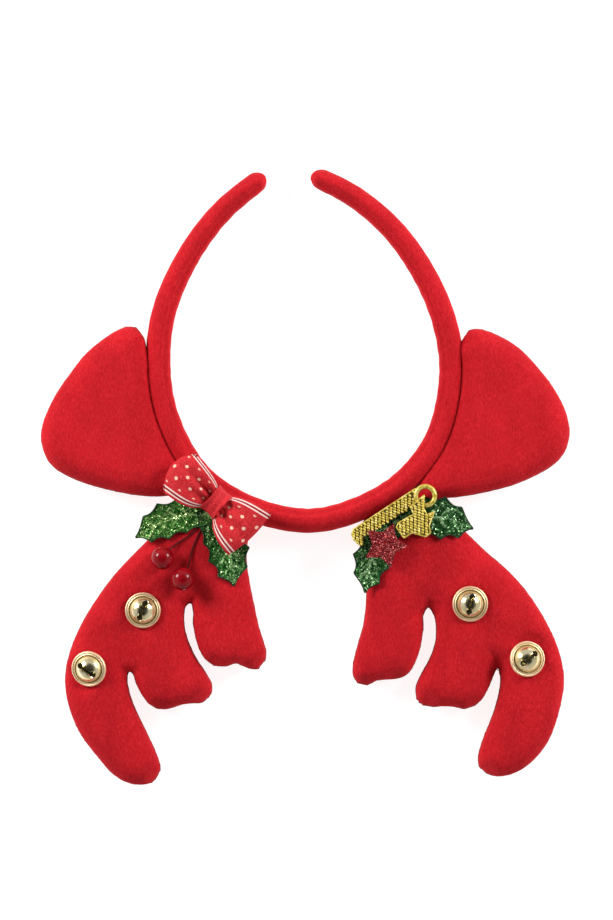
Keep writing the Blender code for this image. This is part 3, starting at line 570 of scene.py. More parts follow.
def close_up(piece, node):
    """The ears are sewn hard against the hoop; the right one's corner is pulled in under the cane's ring."""
    if not node.startswith("ear"):
        return
    corners = spots(piece)
    for i, corner in enumerate(corners):
        flat = Vector((corner[0], corner[1], HOOP_SHIFT.z))
        near, _, distance = hoop_tree.find(flat)
        share = max(0.0, 1.0 - max(0.0, distance - BAND_THICKNESS / 2) / EAR_PULL_REACH)
        pull = (near - flat).normalized() * EAR_PULL * share
        corners[i, :2] += pull[:2]
    if node == "ear_right":
        across = corners[:, :2] - np.array(RING_CORNER)
        share = np.exp(-((np.linalg.norm(across, axis=1) / (6.5 * MM)) ** 2))
        corners[:, :2] += share[:, None] * np.array((-0.7 * MM, -3.4 * MM))
    put(piece, corners)


def press_valleys(piece, node):
    """The panels lie lower where the stuffing parts, inwards from the notches between the prongs."""
    corners = spots(piece)
    for owner, x0, y0, x1, y1, depth, half_width in VALLEYS:
        if owner != node:
            continue
        start = np.array((x0, y0)) * MM
        run = np.array((x1, y1)) * MM - start
        across = corners[:, :2] - start
        part = np.clip(across @ run / (run @ run), 0.0, 1.0)
        distance = np.linalg.norm(across - part[:, None] * run, axis=1)
        fall = depth * MM * (1.0 - part) ** 0.8 * np.exp(-((distance / (half_width * MM)) ** 2))
        share = np.clip((corners[:, 2] / MM - 7.0) / 5.0, 0.0, 1.0)
        corners[:, 2] -= fall * share
    put(piece, corners)


def rim_line(node, height):
    """The widest outline of a padded CAD node, where its two panels meet."""
    bm = bmesh.new()
    bm.from_mesh(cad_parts[node].data)
    bmesh.ops.remove_doubles(bm, verts=bm.verts, dist=0.00001)
    ring = {}
    for edge in bm.edges:
        ends = [v for v in edge.verts if abs(v.co.z - height) < 0.00003]
        ups = [face.normal.z for face in edge.link_faces]
        if len(ends) == 2 and len(ups) == 2 and ups[0] * ups[1] < 0.0:
            for a, b in (ends, ends[::-1]):
                ring.setdefault(a.index, []).append(b.index)
    places = {v.index: v.co.copy() for v in bm.verts}
    bm.free()
    start = max(ring, key=lambda i: places[i].y)
    line = [start]
    came = None
    while True:
        ahead = [i for i in ring[line[-1]] if i != came]
        if not ahead or ahead[0] == start or len(line) > len(ring):
            break
        came = line[-1]
        line.append(ahead[0])
    return [places[i] for i in line]


def sew_edge(piece, line, material, slot):
    """Sinks the seam round a padded piece and closes it with a welt and small ladder stitches."""
    closed = smooth_line([*line[-2:], *line, *line[:2]], 5)[10:-10]
    closed = even_line(closed, 1.2 * MM, closed=True)
    surface = BVHTree.FromObject(piece, bpy.context.evaluated_depsgraph_get())
    seam = []
    sides = []
    turns = sum(a.x * b.y - a.y * b.x for a, b in zip(closed, [*closed[1:], closed[0]]))
    for before, point, after in zip([closed[-1], *closed], closed, [*closed[1:], closed[0]]):
        along = (after - before).normalized()
        out = Vector((along.y, -along.x, 0.0)) * math.copysign(1.0, turns)
        place, _, _, reach = surface.ray_cast(point - out * 2 * MM, out)
        if place is not None and reach < 4 * MM:
            seam.append(place)
            sides.append((along, out))
    tree = tree_of(seam)
    corners = spots(piece)
    normals = outward(piece)
    for i, corner in enumerate(corners):
        distance = tree.find(corner)[2]
        if distance < SEAM_REACH:
            corners[i] -= normals[i] * SEAM_SINK * (1.0 - (distance / SEAM_REACH) ** 2) ** 2
    put(piece, corners)
    path = [place - out * WELT_INSET for place, (_, out) in zip(seam, sides)]
    welt = tube(piece.name + "_seam", path, WELT_RADIUS, material, True)
    stitch = ball(6, 5)
    tip = Matrix.Rotation(math.radians(STITCH_LEAN), 4, "Z") @ Matrix.Diagonal(STITCH_SIZE)
    places = []
    for place, (along, out) in list(zip(seam, sides))[::2]:
        lean = Matrix((along, Vector((0.0, 0.0, 1.0)), out)).transposed().to_4x4()
        places.append(Matrix.Translation(place - out * STITCH_INSET) @ lean @ tip)
    joined(welt, scattered(piece.name + "_stitches", stitch, places, material))
    finish_piece(welt, None, slot)


thread = principled("red_thread", (0.33, 0.004, 0.009), 0.6)
wear(thread, None, noise_at(thread, 5200.0, (1.0, 1.0, 0.3)), 0.5, 0.0001)
PAD_MIDDLES = {"ear_left": 7.5 * MM, "ear_right": 7.5 * MM, "antler_left": 7.0 * MM, "antler_right": 7.0 * MM}
for node, middle in PAD_MIDDLES.items():
    pad = soft_copy(node + "_cover", node, PAD_SMOOTHING, PAD_INSET, PAD_SWELL)
    corners = spots(pad)
    corners[:, 2] = np.maximum(corners[:, 2], 0.0)
    put(pad, corners)
    press_valleys(pad, node)
    press_bells(pad, node)
    sew_edge(pad, rim_line(node, middle), thread, "red_fabric")
    close_up(pad, node)
    refine(pad)
    finish_piece(pad, fleece, "red_fabric", node)


# Jingle bells: a domed cap and a shallow bowl of gold-plated sheet, crimped together at a rolled rim. A slot
# with a round hole at each end is punched through the dome, and a steel pellet rattles inside.
BELL_SKIN = (
    # radius, height
    (0.00, 4.60), (0.60, 4.57), (1.20, 4.49), (1.80, 4.34), (2.40, 4.12), (3.00, 3.82), (3.60, 3.42),
    (4.20, 2.90), (4.70, 2.32), (5.10, 1.68), (5.36, 1.14), (5.50, 0.80), (5.60, 0.58), (5.72, 0.52),
    (5.82, 0.66), (5.94, 0.94), (6.10, 1.08), (6.28, 1.02), (6.40, 0.84), (6.50, 0.74), (6.60, 0.78),
    (6.76, 0.92), (6.96, 0.98), (7.20, 0.86), (7.38, 0.58), (7.47, 0.20), (7.46, -0.16), (7.30, -0.44),
    (7.00, -0.56), (6.60, -0.54), (6.20, -0.60), (5.70, -1.10), (5.00, -1.72), (4.00, -2.32), (2.80, -2.72),
    (1.40, -2.94), (0.00, -3.00),
)  # fmt: skip
BELL_INSIDE = (
    (0.00, -2.60), (1.40, -2.55), (2.80, -2.35), (4.00, -1.95), (4.90, -1.35), (5.25, -0.60), (5.25, 0.20),
    (5.00, 0.95), (4.60, 1.60), (3.90, 2.42), (3.00, 3.18), (1.80, 3.86), (0.80, 4.14), (0.00, 4.20),
)  # fmt: skip
BELL_STEPS = 64
SLOT_REACH = 3.2 * MM
SLOT_WIDTH = 1.25 * MM
SLOT_HOLE = 1.4 * MM
LIP_RADIUS = 0.20 * MM


def read(material, name):
    """A value that the mesh carries under a name."""
    return add(material, "Attribute", attribute_name=name).outputs["Fac"]


def make_bell_metal():
    """Gold plating: pale on the dome, pinker on the rim, with painted shade in brown in the grooves and
    painted shade and dark reflection round the slot.
    """
    metal = principled("bell_gold_plate", (0.86, 0.68, 0.34), 0.16, 1.0)
    rub = noise_at(metal, 420.0, detail=4.0)
    scratch = noise_at(metal, 2600.0, (1.0, 0.12, 1.0), 3.0, 0.7)
    rim, groove, slot_shade, shoulder = (read(metal, name) for name in ("rim", "groove", "slot_shade", "shoulder"))
    colour = ramp(metal, rub, (0.35, (0.84, 0.70, 0.36)), (0.65, (0.97, 0.88, 0.60)))
    colour = mixed(metal, rim, colour, (1.0, 0.78, 0.50))
    # Painted shade: the grooves are painted dark brown.
    colour = mixed(metal, groove, colour, (0.22, 0.10, 0.03))
    # Painted shade and dark reflection: dark olive round the slot.
    colour = mixed(metal, slot_shade, colour, (0.16, 0.14, 0.035))
    colour = mixed(metal, summed(metal, shoulder, 0.6, "MULTIPLY"), colour, (0.80, 0.66, 0.30))
    rough = ramp(metal, scratch, (0.3, (0.12, 0.12, 0.12)), (0.75, (0.26, 0.26, 0.26)))
    rough = mixed(metal, rim, rough, (0.52, 0.52, 0.52))
    rough = mixed(metal, shoulder, rough, (0.55, 0.55, 0.55))
    rough = mixed(metal, groove, rough, (0.5, 0.5, 0.5))
    return wear(metal, colour, summed(metal, rub, scratch), 0.10, 0.0002, rough)


def clad(node, material):
    """Gives a material to a CAD node that stays as it is."""
    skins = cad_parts[node].data.materials
    skins.clear()
    skins.append(material)


def dome_height(radius):
    skin = [(r * MM, h * MM) for r, h in BELL_SKIN[:11]]
    return float(np.interp(radius, [r for r, _ in skin], [h for _, h in skin]))


def make_bell_shell():
    """The turned shell with its slot cut and the slot's rolled lip added, centred on its rim."""
    profile = [Vector((r * MM, 0.0, h * MM)) for r, h in (*BELL_SKIN, *BELL_INSIDE)]
    outer = even_line(smooth_line(profile[: len(BELL_SKIN)], 3), 0.2 * MM)
    inner = profile[len(BELL_SKIN) :]
    mesh = bpy.data.meshes.new("bell_shell")
    rows = []
    edges = []
    for part in (outer, inner):
        start = len(rows)
        rows += part
        edges += [(start + i, start + i + 1) for i in range(len(part) - 1)]
    mesh.from_pydata(rows, edges, [])
    shell = new_piece("bell_shell", mesh)
    only(shell)
    bpy.ops.object.mode_set(mode="EDIT")
    bpy.ops.mesh.select_all(action="SELECT")
    bpy.ops.mesh.spin(steps=BELL_STEPS, angle=math.tau, center=(0.0, 0.0, 0.0), axis=(0.0, 0.0, 1.0))
    weld(shell, 0.00001)
    cutters = []
    for x in (-SLOT_REACH, SLOT_REACH):
        place = (x, 0.0, 4 * MM)
        bpy.ops.mesh.primitive_cylinder_add(vertices=24, radius=SLOT_HOLE, depth=6 * MM, location=place)
        cutters.append(bpy.context.object)
    bpy.ops.mesh.primitive_cube_add(size=1.0, location=(0.0, 0.0, 4 * MM))
    bpy.context.object.scale = (SLOT_REACH * 2, SLOT_WIDTH, 6 * MM)
    cutters.append(bpy.context.object)
    for cutter in cutters:
        settle(cutter)
        cut = shell.modifiers.new("slot", "BOOLEAN")
        cut.operation = "DIFFERENCE"
        cut.solver = "EXACT"
        cut.object = cutter
    apply_all(shell)
    for cutter in cutters:
        bpy.data.objects.remove(cutter, do_unlink=True)
    start = math.asin(SLOT_WIDTH / 2 / SLOT_HOLE)
    lip = []
    for side in (1.0, -1.0):
        for i in range(17):
            turn = math.pi - start - (math.tau - 2 * start) * i / 16
            x = side * (SLOT_REACH + SLOT_HOLE * math.cos(turn))
            y = side * SLOT_HOLE * math.sin(turn)
            lip.append(Vector((x, y, dome_height(math.hypot(x, y)) - 0.02 * MM)))
    lip = even_line(lip, 0.3 * MM, closed=True)
    skin_count = len(shell.data.vertices)
    shell = joined(shell, tube("bell_lip", lip, LIP_RADIUS, closed=True))
    corners = spots(shell) / MM
    # Painted shade and dark reflection round the slot, in patches, fading out from it; none on the lip.
    reach = np.hypot(np.maximum(0.0, np.abs(corners[:, 0]) - SLOT_REACH / MM), corners[:, 1])
    uneven = 0.75 + 0.35 * np.sin(corners[:, 0] * 2.3 + 0.8) * np.sin(corners[:, 1] * 2.9 + 1.9)
    slot_shade = np.clip(1.35 * uneven * np.exp(-((reach / 1.55) ** 2)), 0.0, 0.92)
    slot_shade[skin_count:] = 0.0
    radius = np.hypot(corners[:, 0], corners[:, 1])
    upper = corners[:, 2] > -0.7
    rim = np.clip((radius - 5.7) / 0.3, 0.0, 1.0)
    shoulder = np.clip((radius - 4.3) / 0.7, 0.0, 1.0) * (radius < 5.75)
    # Painted shade in the groove at the foot of the dome and the groove on the rim, on the upper side only.
    groove = np.exp(-(((radius - 5.66) / 0.22) ** 2)) + 0.5 * np.exp(-(((radius - 6.50) / 0.12) ** 2))
    groove = np.clip(groove * upper, 0.0, 1.0)
    for name, values in (("rim", rim), ("shoulder", shoulder), ("groove", groove), ("slot_shade", slot_shade)):
        shell.data.attributes.new(name, "FLOAT", "POINT").data.foreach_set("value", values)
    return shell


bell_metal = make_bell_metal()
bell_model = make_bell_shell()
for name, _, x, y, slot_angle, lean, direction in BELLS:
    bell = new_piece(name + "_shell", bell_model.data.copy())
    fall = bell_fall(lean, direction)
    tilt = Matrix.Rotation(math.radians(lean), 4, Vector((-fall.y, fall.x, 0.0))) if lean else Matrix()
    spin = Matrix.Rotation(math.radians(slot_angle), 4, "Z")
    bell.matrix_world = Matrix.Translation((x * MM, y * MM, BELL_HEIGHT)) @ tilt @ spin
    settle(bell)
    bpy.ops.object.shade_smooth_by_angle(angle=math.radians(45.0))
    finish_piece(bell, bell_metal, "bell_gold", name)
bpy.data.objects.remove(bell_model, do_unlink=True)
pellet_steel = principled("pellet_steel", (0.45, 0.44, 0.42), 0.35, 1.0)
wear(pellet_steel, None, noise_at(pellet_steel, 1800.0), 0.2, 0.0001)
for name, *_ in BELLS:
    clad(name + "_pellet", pellet_steel)


# Holly leaves: two layers of green glitter film welded round a dark beaded edge, with a raised midrib and
# side ribs. They are tacked to the antler's root by their stalk ends.
LEAVES = (
    # node, root x, root y, heading, sideways bend, width,
    # dark, mid and light green
    ("leaf_1", -42.38, -15.75, -161.0, -0.17, 0.92,
     (0.005, 0.060, 0.009), (0.060, 0.26, 0.026), (0.70, 0.95, 0.38)),
    ("leaf_2", -39.44, -17.28, -71.2, 0.15, 1.06,
     (0.004, 0.045, 0.008), (0.040, 0.21, 0.026), (0.64, 0.95, 0.44)),
    ("leaf_3", 40.25, -18.07, -7.0, 0.18, 1.06,
     (0.004, 0.038, 0.009), (0.030, 0.15, 0.026), (0.55, 0.90, 0.46)),
    ("leaf_4", 36.06, -20.62, -111.7, -0.17, 0.94,
     (0.004, 0.045, 0.009), (0.036, 0.19, 0.027), (0.62, 0.94, 0.50)),
)  # fmt: skip
LEAF_LENGTH = 30.0 * MM
LEAF_WIDTH = 16.0 * MM
LEAF_HEIGHT = 14.6 * MM
LEAF_TEETH = (
    # along, half width, how far the margin dips before the next tooth
    (0.00, 0.60, 0.00), (0.07, 0.72, 0.10), (0.30, 0.96, 0.17), (0.56, 1.04, 0.18), (0.80, 0.76, 0.12),
    (1.00, 0.00, 0.00),
)  # fmt: skip
LEAF_START = -0.13
LEAF_END = 0.995
LEAF_THICKNESS = 0.5 * MM
BINDING_BEAD = 0.42 * MM
LEAF_RIBS = (0.02, 0.19, 0.36, 0.53, 0.70)
LEAF_ROWS = 64
LEAF_COLUMNS = 20
FLAKES = 1100
FLAKE_SIZES = (0.15, 0.30)
random.seed(7)


def jitter(most):
    return random.uniform(-most, most)


def leaf_half_width(along):
    for (t0, w0, dip), (t1, w1, _) in zip(LEAF_TEETH, LEAF_TEETH[1:]):
        if along <= t1:
            part = (along - t0) / (t1 - t0)
            return w0 + (w1 - w0) * part - dip * math.sin(math.pi * part)
    return 0.0


def leaf_glow(along, side, bend, width):
    """How far a spot lies on the bright midrib or one of the side ribs, from 0 to 1; there the ribs' paler
    glitter and a painted highlight along them are painted in.
    """
    half = leaf_half_width(along) * LEAF_WIDTH / 2 * width
    glow = math.exp(-((side * half / (0.60 * MM)) ** 2)) * (1.0 - along**4)
    for root in LEAF_RIBS:
        slant = (along - root - 0.22 * abs(side) ** 1.3) * LEAF_LENGTH / (0.62 * MM)
        glow = max(glow, 0.85 * math.exp(-(slant**2)) * (1.0 - abs(side) ** 3))
    return glow


def leaf_point(along, side, bend, width):
    """Point on a leaf's upper skin: creased at the midrib, ribbed towards each tooth, edges waving."""
    half = leaf_half_width(along) * LEAF_WIDTH / 2 * width
    across = bend * 4 * along * (1.0 - along) * LEAF_WIDTH + side * half
    rise = 1.0 * MM * abs(side) * min(1.0, half / (4 * MM))
    rise += 0.38 * MM * leaf_glow(along, side, bend, width)
    rise += 0.30 * MM * math.sin(along * 17.0 + side * 1.3) * side * side
    return Vector((along * LEAF_LENGTH, across, rise))


def make_glitter(name, dark, mid, light, metallic=0.55, size=1500.0):
    """Film packed with small bright flakes: each cell of the pattern has its own tone and tilt."""
    film = principled(name, mid, 0.3, metallic)
    cells = add(film, "TexVoronoi")
    plug(film, size, cells.inputs["Scale"])
    plug(film, add(film, "TexCoord").outputs["Object"], cells.inputs["Vector"])
    split = add(film, "SeparateColor")
    plug(film, cells.outputs["Color"], split.inputs[0])
    patches = summed(film, summed(film, noise_at(film, 420.0), 0.5, "SUBTRACT"), 1.2, "MULTIPLY")
    value = summed(film, summed(film, split.outputs[0], 0.55, "MULTIPLY"), patches)
    # Lighter along the ribs: their paler glitter plus a painted highlight along them.
    value = summed(film, value, summed(film, read(film, "glow"), 0.72, "MULTIPLY"))
    tone = ramp(film, value, (0.10, dark), (0.40, mid), (0.62, mid), (0.98, light))
    return wear(film, tone, split.outputs[1], 0.55, 0.00025)


def make_flakes(name, dark, mid, light, metallic=0.6):
    """Loose flakes, each with one tone of its own."""
    chips = principled(name, mid, 0.30, metallic)
    tone = ramp(chips, read(chips, "tone"), (0.0, dark), (0.40, mid), (0.85, light), (1.0, light))
    return wear(chips, tone)


def grid_piece(name, rows, cut=None):
    """Sheet through rows of points; cut is where each point was on the flat cloth."""
    wide = len(rows[0])
    mesh = bpy.data.meshes.new(name)
    faces = [
        (i * wide + j, i * wide + j + 1, (i + 1) * wide + j + 1, (i + 1) * wide + j)
        for i in range(len(rows) - 1)
        for j in range(wide - 1)
    ]
    mesh.from_pydata([p for row in rows for p in row], [], faces)
    if cut:
        layer = mesh.uv_layers.new(name="cut")
        flat = [uv for row in cut for uv in row]
        for loop in mesh.loops:
            layer.data[loop.index].uv = flat[loop.vertex_index]
    return new_piece(name, mesh)


def thicken(piece, thickness, offset):
    wall = piece.modifiers.new("wall", "SOLIDIFY")
    wall.thickness = thickness
    wall.offset = offset
    apply_all(piece)


def lay(piece, place, heading):
    """Sets a finished piece down at its place and heading."""
    piece.matrix_world = Matrix.Translation(place) @ Matrix.Rotation(math.radians(heading), 4, "Z")
    settle(piece)


flake_shape = template(bpy.ops.mesh.primitive_cylinder_add, vertices=6, radius=1.0, depth=0.25)
for node, x, y, heading, bend, width, dark, mid, light in LEAVES:
    spine = [LEAF_START + i / LEAF_ROWS * (LEAF_END - LEAF_START) for i in range(LEAF_ROWS + 1)]
    sides = [2 * j / LEAF_COLUMNS - 1.0 for j in range(LEAF_COLUMNS + 1)]
    leaf = grid_piece(node + "_blade", [[leaf_point(t, s, bend, width) for s in sides] for t in spine])
    glow = [leaf_glow(t, s, bend, width) for t in spine for s in sides]
    leaf.data.attributes.new("glow", "FLOAT", "POINT").data.foreach_set("value", glow)
    weld(leaf, 0.00002)
    if sum(face.normal.z for face in leaf.data.polygons) < 0.0:
        leaf.data.flip_normals()
    thicken(leaf, LEAF_THICKNESS, -1.0)
    bpy.ops.object.shade_smooth_by_angle(angle=math.radians(50.0))
    leaf.data.materials.append(make_glitter(node + "_film", dark, mid, light))
    shares = [LEAF_START + i / 60 * (0.99 - LEAF_START) for i in range(61)]
    edge = [leaf_point(share, -1.0, bend, width) for share in shares]
    edge += [leaf_point(share, 1.0, bend, width) for share in reversed(shares)]
    edge = [Matrix.Translation(p - Vector((0, 0, 0.2 * MM))) for p in even_line(edge, 0.45 * MM, closed=True)]
    beads = ball(6, 4, BINDING_BEAD)
    shadow = tuple(c * 0.55 for c in dark)
    binding_film = make_glitter(node + "_binding", shadow, dark, mid, 0.4, 2600.0)
    binding = scattered(node + "_edge", beads, edge, binding_film)
    places = []
    tones = []
    for _ in range(FLAKES):
        along = random.uniform(LEAF_START + 0.02, 0.96)
        side = jitter(0.93)
        spot = leaf_point(along, side, bend, width) + Vector((0.0, 0.0, 0.04 * MM))
        size = random.uniform(*FLAKE_SIZES) * MM
        tilt = Matrix.Rotation(jitter(0.5), 4, "X") @ Matrix.Rotation(jitter(0.5), 4, "Y")
        tilt = tilt @ Matrix.Rotation(random.uniform(0.0, math.tau), 4, "Z")
        places.append(Matrix.Translation(spot) @ tilt @ Matrix.Diagonal((size * 1.4, size, 0.4 * MM, 1.0)))
        # Flakes on the ribs are lighter too: paler glitter plus the same painted highlight.
        bright = leaf_glow(along, side, bend, width) * (1.0 - 0.5 * abs(side))
        tones.append(min(1.0, 0.85 * random.random() ** 1.5 + 0.85 * bright * random.random() ** 0.5))
    chips = make_flakes(node + "_flake", dark, mid, light)
    flakes = scattered(node + "_flakes", flake_shape, places, chips, tones)
    joined(leaf, binding, flakes)
    lay(leaf, (x * MM, y * MM, LEAF_HEIGHT), heading)
    finish_piece(leaf, None, "leaf_green", node)


# Berries: lacquered red beads on twisted wire that is tucked under the leaves.
BERRIES = (("berry_1", -59.22, -33.79), ("berry_2", -50.99, -42.43))
BERRY_RADIUS = 4.8 * MM
BERRY_HEIGHT = 19.1 * MM
lacquer = principled("berry_lacquer", (0.26, 0.0025, 0.0065), 0.10, Specular_IOR_Level=0.24)
lacquer_tones = (0.35, (0.19, 0.0018, 0.0045)), (0.7, (0.31, 0.0035, 0.009))
wear(lacquer, ramp(lacquer, noise_at(lacquer, 260.0), *lacquer_tones))
covered_wire = principled("covered_wire", (0.10, 0.004, 0.006), 0.6, Specular_IOR_Level=0.2)
wear(covered_wire, None, noise_at(covered_wire, 3000.0, (1.0, 1.0, 0.2)), 0.4, 0.0001)
for node, x, y in BERRIES:
    bpy.ops.object.select_all(action="DESELECT")
    bpy.ops.mesh.primitive_uv_sphere_add(
        segments=48, ring_count=28, radius=BERRY_RADIUS, location=(x * MM, y * MM, BERRY_HEIGHT)
    )
    berry = bpy.context.object
    berry.name = node + "_bead"
    settle(berry)
    bpy.ops.object.shade_smooth()
    finish_piece(berry, lacquer, "berry_red", node)
    clad(node + "_stem", covered_wire)


# Bow: one belt of dotted red ribbon, gathered at the waist into two loops and lying on the leaves. A short
# plain ribbon is wrapped round the waist as its knot.
RIBBON_WIDTH = 23.0 * MM
RIBBON_THICKNESS = 0.45 * MM
BOW_CENTRE = Vector((-37.0, -10.6, 0.0)) * MM
BOW_WINGS = (
    # two waist corners, two fold corners (x, y), how far the fold and each edge bow out, edge that rolls down
    ((-41.4, -12.4), (-35.6, -6.4), (-58.7, -6.4), (-43.6, 10.0), 5.0, 2.6, 1.6, 1.0),
    ((-32.4, -8.6), (-38.4, -16.2), (-13.9, -15.0), (-32.0, -32.5), 1.4, 1.9, 2.4, 0.0),
)
BOW_RISE = (
    # share out, upper height, lower height
    (0.00, 17.6, 14.4), (0.16, 18.6, 14.8), (0.34, 20.6, 17.1), (0.56, 22.0, 17.0), (0.78, 22.2, 17.2),
    (0.93, 21.4, 17.9), (1.00, 19.6, 19.6),
)  # fmt: skip
BOW_ALONG = 30
BOW_ACROSS = 28
DOT_PITCH = 7.4 * MM
DOT_RADIUS = 0.74 * MM
RIBBON_LINES = (
    # distance in from the edge, half width with and without the soft edge, colour
    (1.20, 0.36, 0.22, (0.92, 0.70, 0.64)),
    (2.50, 0.36, 0.22, (0.92, 0.70, 0.64)),
    (1.85, 0.40, 0.28, (0.30, 0.004, 0.012)),
)


def make_ribbon(name, printed):
    """Ribbed red ribbon; the printed one has two white lines along each edge and staggered pale dots."""
    cloth = principled(name, (0.60, 0.018, 0.026), 0.72, Specular_IOR_Level=0.2)
    place = add(cloth, "UVMap", uv_map="cut").outputs["UV"]
    split = add(cloth, "SeparateXYZ")
    plug(cloth, place, split.inputs[0])
    speck = noise_at(cloth, 2300.0, detail=2.0)
    tones = (0.30, (0.40, 0.006, 0.012)), (0.52, (0.62, 0.018, 0.026)), (0.76, (0.74, 0.065, 0.062))
    colour = ramp(cloth, speck, *tones)
    ribs = summed(cloth, summed(cloth, split.outputs["Y"], math.tau / (0.55 * MM), "MULTIPLY"), kind="SINE")
    if printed:
        def level(source, low, high):
            node = add(cloth, "MapRange")
            for socket, value in (("From Min", low), ("From Max", high), ("Value", source)):
                plug(cloth, value, node.inputs[socket])
            return node.outputs["Result"]

        def grid_distance(offset):
            source = place
            steps = ("MULTIPLY", 1.0 / DOT_PITCH), ("ADD", 0.5 + offset), ("FRACTION", 0.0), ("SUBTRACT", 0.5)
            for kind, value in steps:
                node = add(cloth, "VectorMath", operation=kind)
                if kind != "FRACTION":
                    node.inputs[1].default_value = (value, value, 0.0)
                plug(cloth, source, node.inputs[0])
                source = node.outputs[0]
            node = add(cloth, "VectorMath", operation="LENGTH")
            plug(cloth, source, node.inputs[0])
            return node.outputs["Value"]

        nearest = summed(cloth, grid_distance(0.0), grid_distance(0.5), "MINIMUM")
        radius = DOT_RADIUS / DOT_PITCH
        dots = level(nearest, radius * 1.18, radius * 0.82)
        from_edge = summed(cloth, split.outputs["X"], kind="ABSOLUTE")
        inside = level(from_edge, RIBBON_WIDTH * 0.33, RIBBON_WIDTH * 0.30)
        dots = summed(cloth, dots, inside, "MULTIPLY")
        colour = mixed(cloth, dots, colour, (0.95, 0.62, 0.46))
        for inset, outer, inner, ink in RIBBON_LINES:
            gap = summed(cloth, from_edge, RIBBON_WIDTH / 2 - inset * MM, "SUBTRACT")
            gap = summed(cloth, gap, kind="ABSOLUTE")
            colour = mixed(cloth, level(gap, outer * MM, inner * MM), colour, ink)
    relief = summed(cloth, summed(cloth, ribs, 0.5, "MULTIPLY"), speck)
    return wear(cloth, colour, relief, 0.35, 0.00016)


def wing_rows(waist_a, waist_b, fold_a, fold_b, bow_out, edge_a_out, edge_b_out, roll):
    """Rows of points out along a loop's upper side and back along its lower side."""
    corners = [Vector((*corner, 0.0)) * MM for corner in (waist_a, waist_b, fold_a, fold_b)]
    near_a, near_b, far_a, far_b = corners
    out_way = ((far_a + far_b) / 2 - (near_a + near_b) / 2).normalized()
    side_way = (near_b - near_a).normalized()
    rows = []
    cut = []
    run = 0.0
    shares = [math.sin(math.pi / 2 * i / BOW_ALONG) for i in range(BOW_ALONG + 1)]
    path = [(share, 1) for share in shares] + [(share, 2) for share in reversed(shares[:-1])]
    for share, layer in path:
        row = []
        shares_out, *heights = zip(*BOW_RISE)
        level = float(np.interp(share, shares_out, heights[layer - 1]))
        for j in range(BOW_ACROSS + 1):
            side = 2 * j / BOW_ACROSS - 1.0
            part = (side + 1) / 2
            near = near_a.lerp(near_b, part)
            far = far_a.lerp(far_b, part) + out_way * bow_out * MM * (1.0 - side * side)
            eased = share * 0.75 + 0.25 * share**2
            place = near.lerp(far, eased)
            bulge = edge_b_out if side > 0.0 else -edge_a_out
            swing = bulge * abs(side) ** 1.5 * math.sin(math.pi * share**0.8)
            rolled = roll * max(0.0, (side - 0.55) / 0.45) ** 2 * math.sin(math.pi / 2 * share)
            place += side_way * (swing - 1.5 * rolled) * MM
            gather = (1.0 - share) ** 1.6
            crease = math.exp(-(((side - 0.18 * share - 0.10) / 0.16) ** 2)) * (1.0 - share) ** 0.9
            pleat = math.cos(side * 9.5 + 0.6) * 1.0 * gather - 2.1 * crease
            droop = 0.9 * abs(side) ** 3 * share if layer == 1 else -0.5 * abs(side) ** 3 * share
            ripple = 0.28 * math.sin(side * 4.0 + share * 5.0) * share * (1.2 - share)
            scale = 1.0 if layer == 1 else 0.35
            place.z = (level + (pleat + ripple) * scale - droop - (2.4 if layer == 1 else 0.6) * rolled) * MM
            row.append(place)
        if rows:
            run += (row[BOW_ACROSS // 2] - rows[-1][BOW_ACROSS // 2]).length
        marks = [((j / BOW_ACROSS - 0.5) * RIBBON_WIDTH, run) for j in range(BOW_ACROSS + 1)]
        rows.append(row)
        cut.append(marks)
    return rows, cut


printed_ribbon = make_ribbon("dotted_ribbon", True)
plain_ribbon = make_ribbon("plain_ribbon", False)
loops = []
for side, wing in zip(("left", "right"), BOW_WINGS):
    rows, cut = wing_rows(*wing)
    loops.append(grid_piece("bow_" + side, rows, cut))
bow = joined(*loops)
bow.name = "bow_ribbon"
weld(bow)
thicken(bow, RIBBON_THICKNESS, 0.0)
bpy.ops.object.shade_smooth_by_angle(angle=math.radians(60.0))
finish_piece(bow, printed_ribbon, "ribbon", "bow")

KNOT_HEADING = -42.2
KNOT_WIDTH = 7.4 * MM
KNOT_MIDDLE = Vector((0.0, 0.0, 16.0 * MM))
KNOT_ROWS = 22
KNOT_STEP = 0.6 * MM
KNOT_SECTION = (
    # across, height
    (-5.0, 13.6), (-5.6, 15.2), (-5.4, 17.6), (-4.4, 19.4), (-2.8, 20.5), (-1.0, 21.0), (1.0, 20.9),
    (2.8, 20.3), (4.4, 19.1), (5.4, 17.4), (5.6, 15.2), (5.0, 13.6), (3.4, 12.9), (0.0, 12.7), (-3.4, 12.9),
)  # fmt: skip
section = [Vector((a, 0.0, h)) * MM for a, h in KNOT_SECTION]
loop = even_line(smooth_line([*section[-2:], *section, *section[:2]], 5)[10:-10], KNOT_STEP, closed=True)
rows = []
cut = []
for i in range(KNOT_ROWS + 1):
    side = 2 * i / KNOT_ROWS - 1.0
    row = []
    for point in [*loop, loop[0]]:
        upper = max(0.0, (point.z / MM - 14.0) / 6.0)
        crease = 0.16 * math.cos(side * 6.0 + point.x / MM * 0.25) * upper
        place = KNOT_MIDDLE + (point - KNOT_MIDDLE) * (1.0 + 0.10 * side * side)
        waist = 1.0 - 0.16 * upper * (1.0 - abs(point.x) / (7 * MM))
        row.append(Vector((side * KNOT_WIDTH / 2 * waist, place.x, place.z + crease * MM)))
    rows.append(row)
    cut.append([(side * KNOT_WIDTH / 2, j * KNOT_STEP) for j in range(len(row))])
knot = grid_piece("bow_knot_wrap", rows, cut)
weld(knot, 0.00002)
thicken(knot, RIBBON_THICKNESS, 0.0)
lay(knot, BOW_CENTRE, KNOT_HEADING)
bpy.ops.object.shade_smooth_by_angle(angle=math.radians(60.0))
finish_piece(knot, plain_ribbon, "ribbon", "bow_knot")


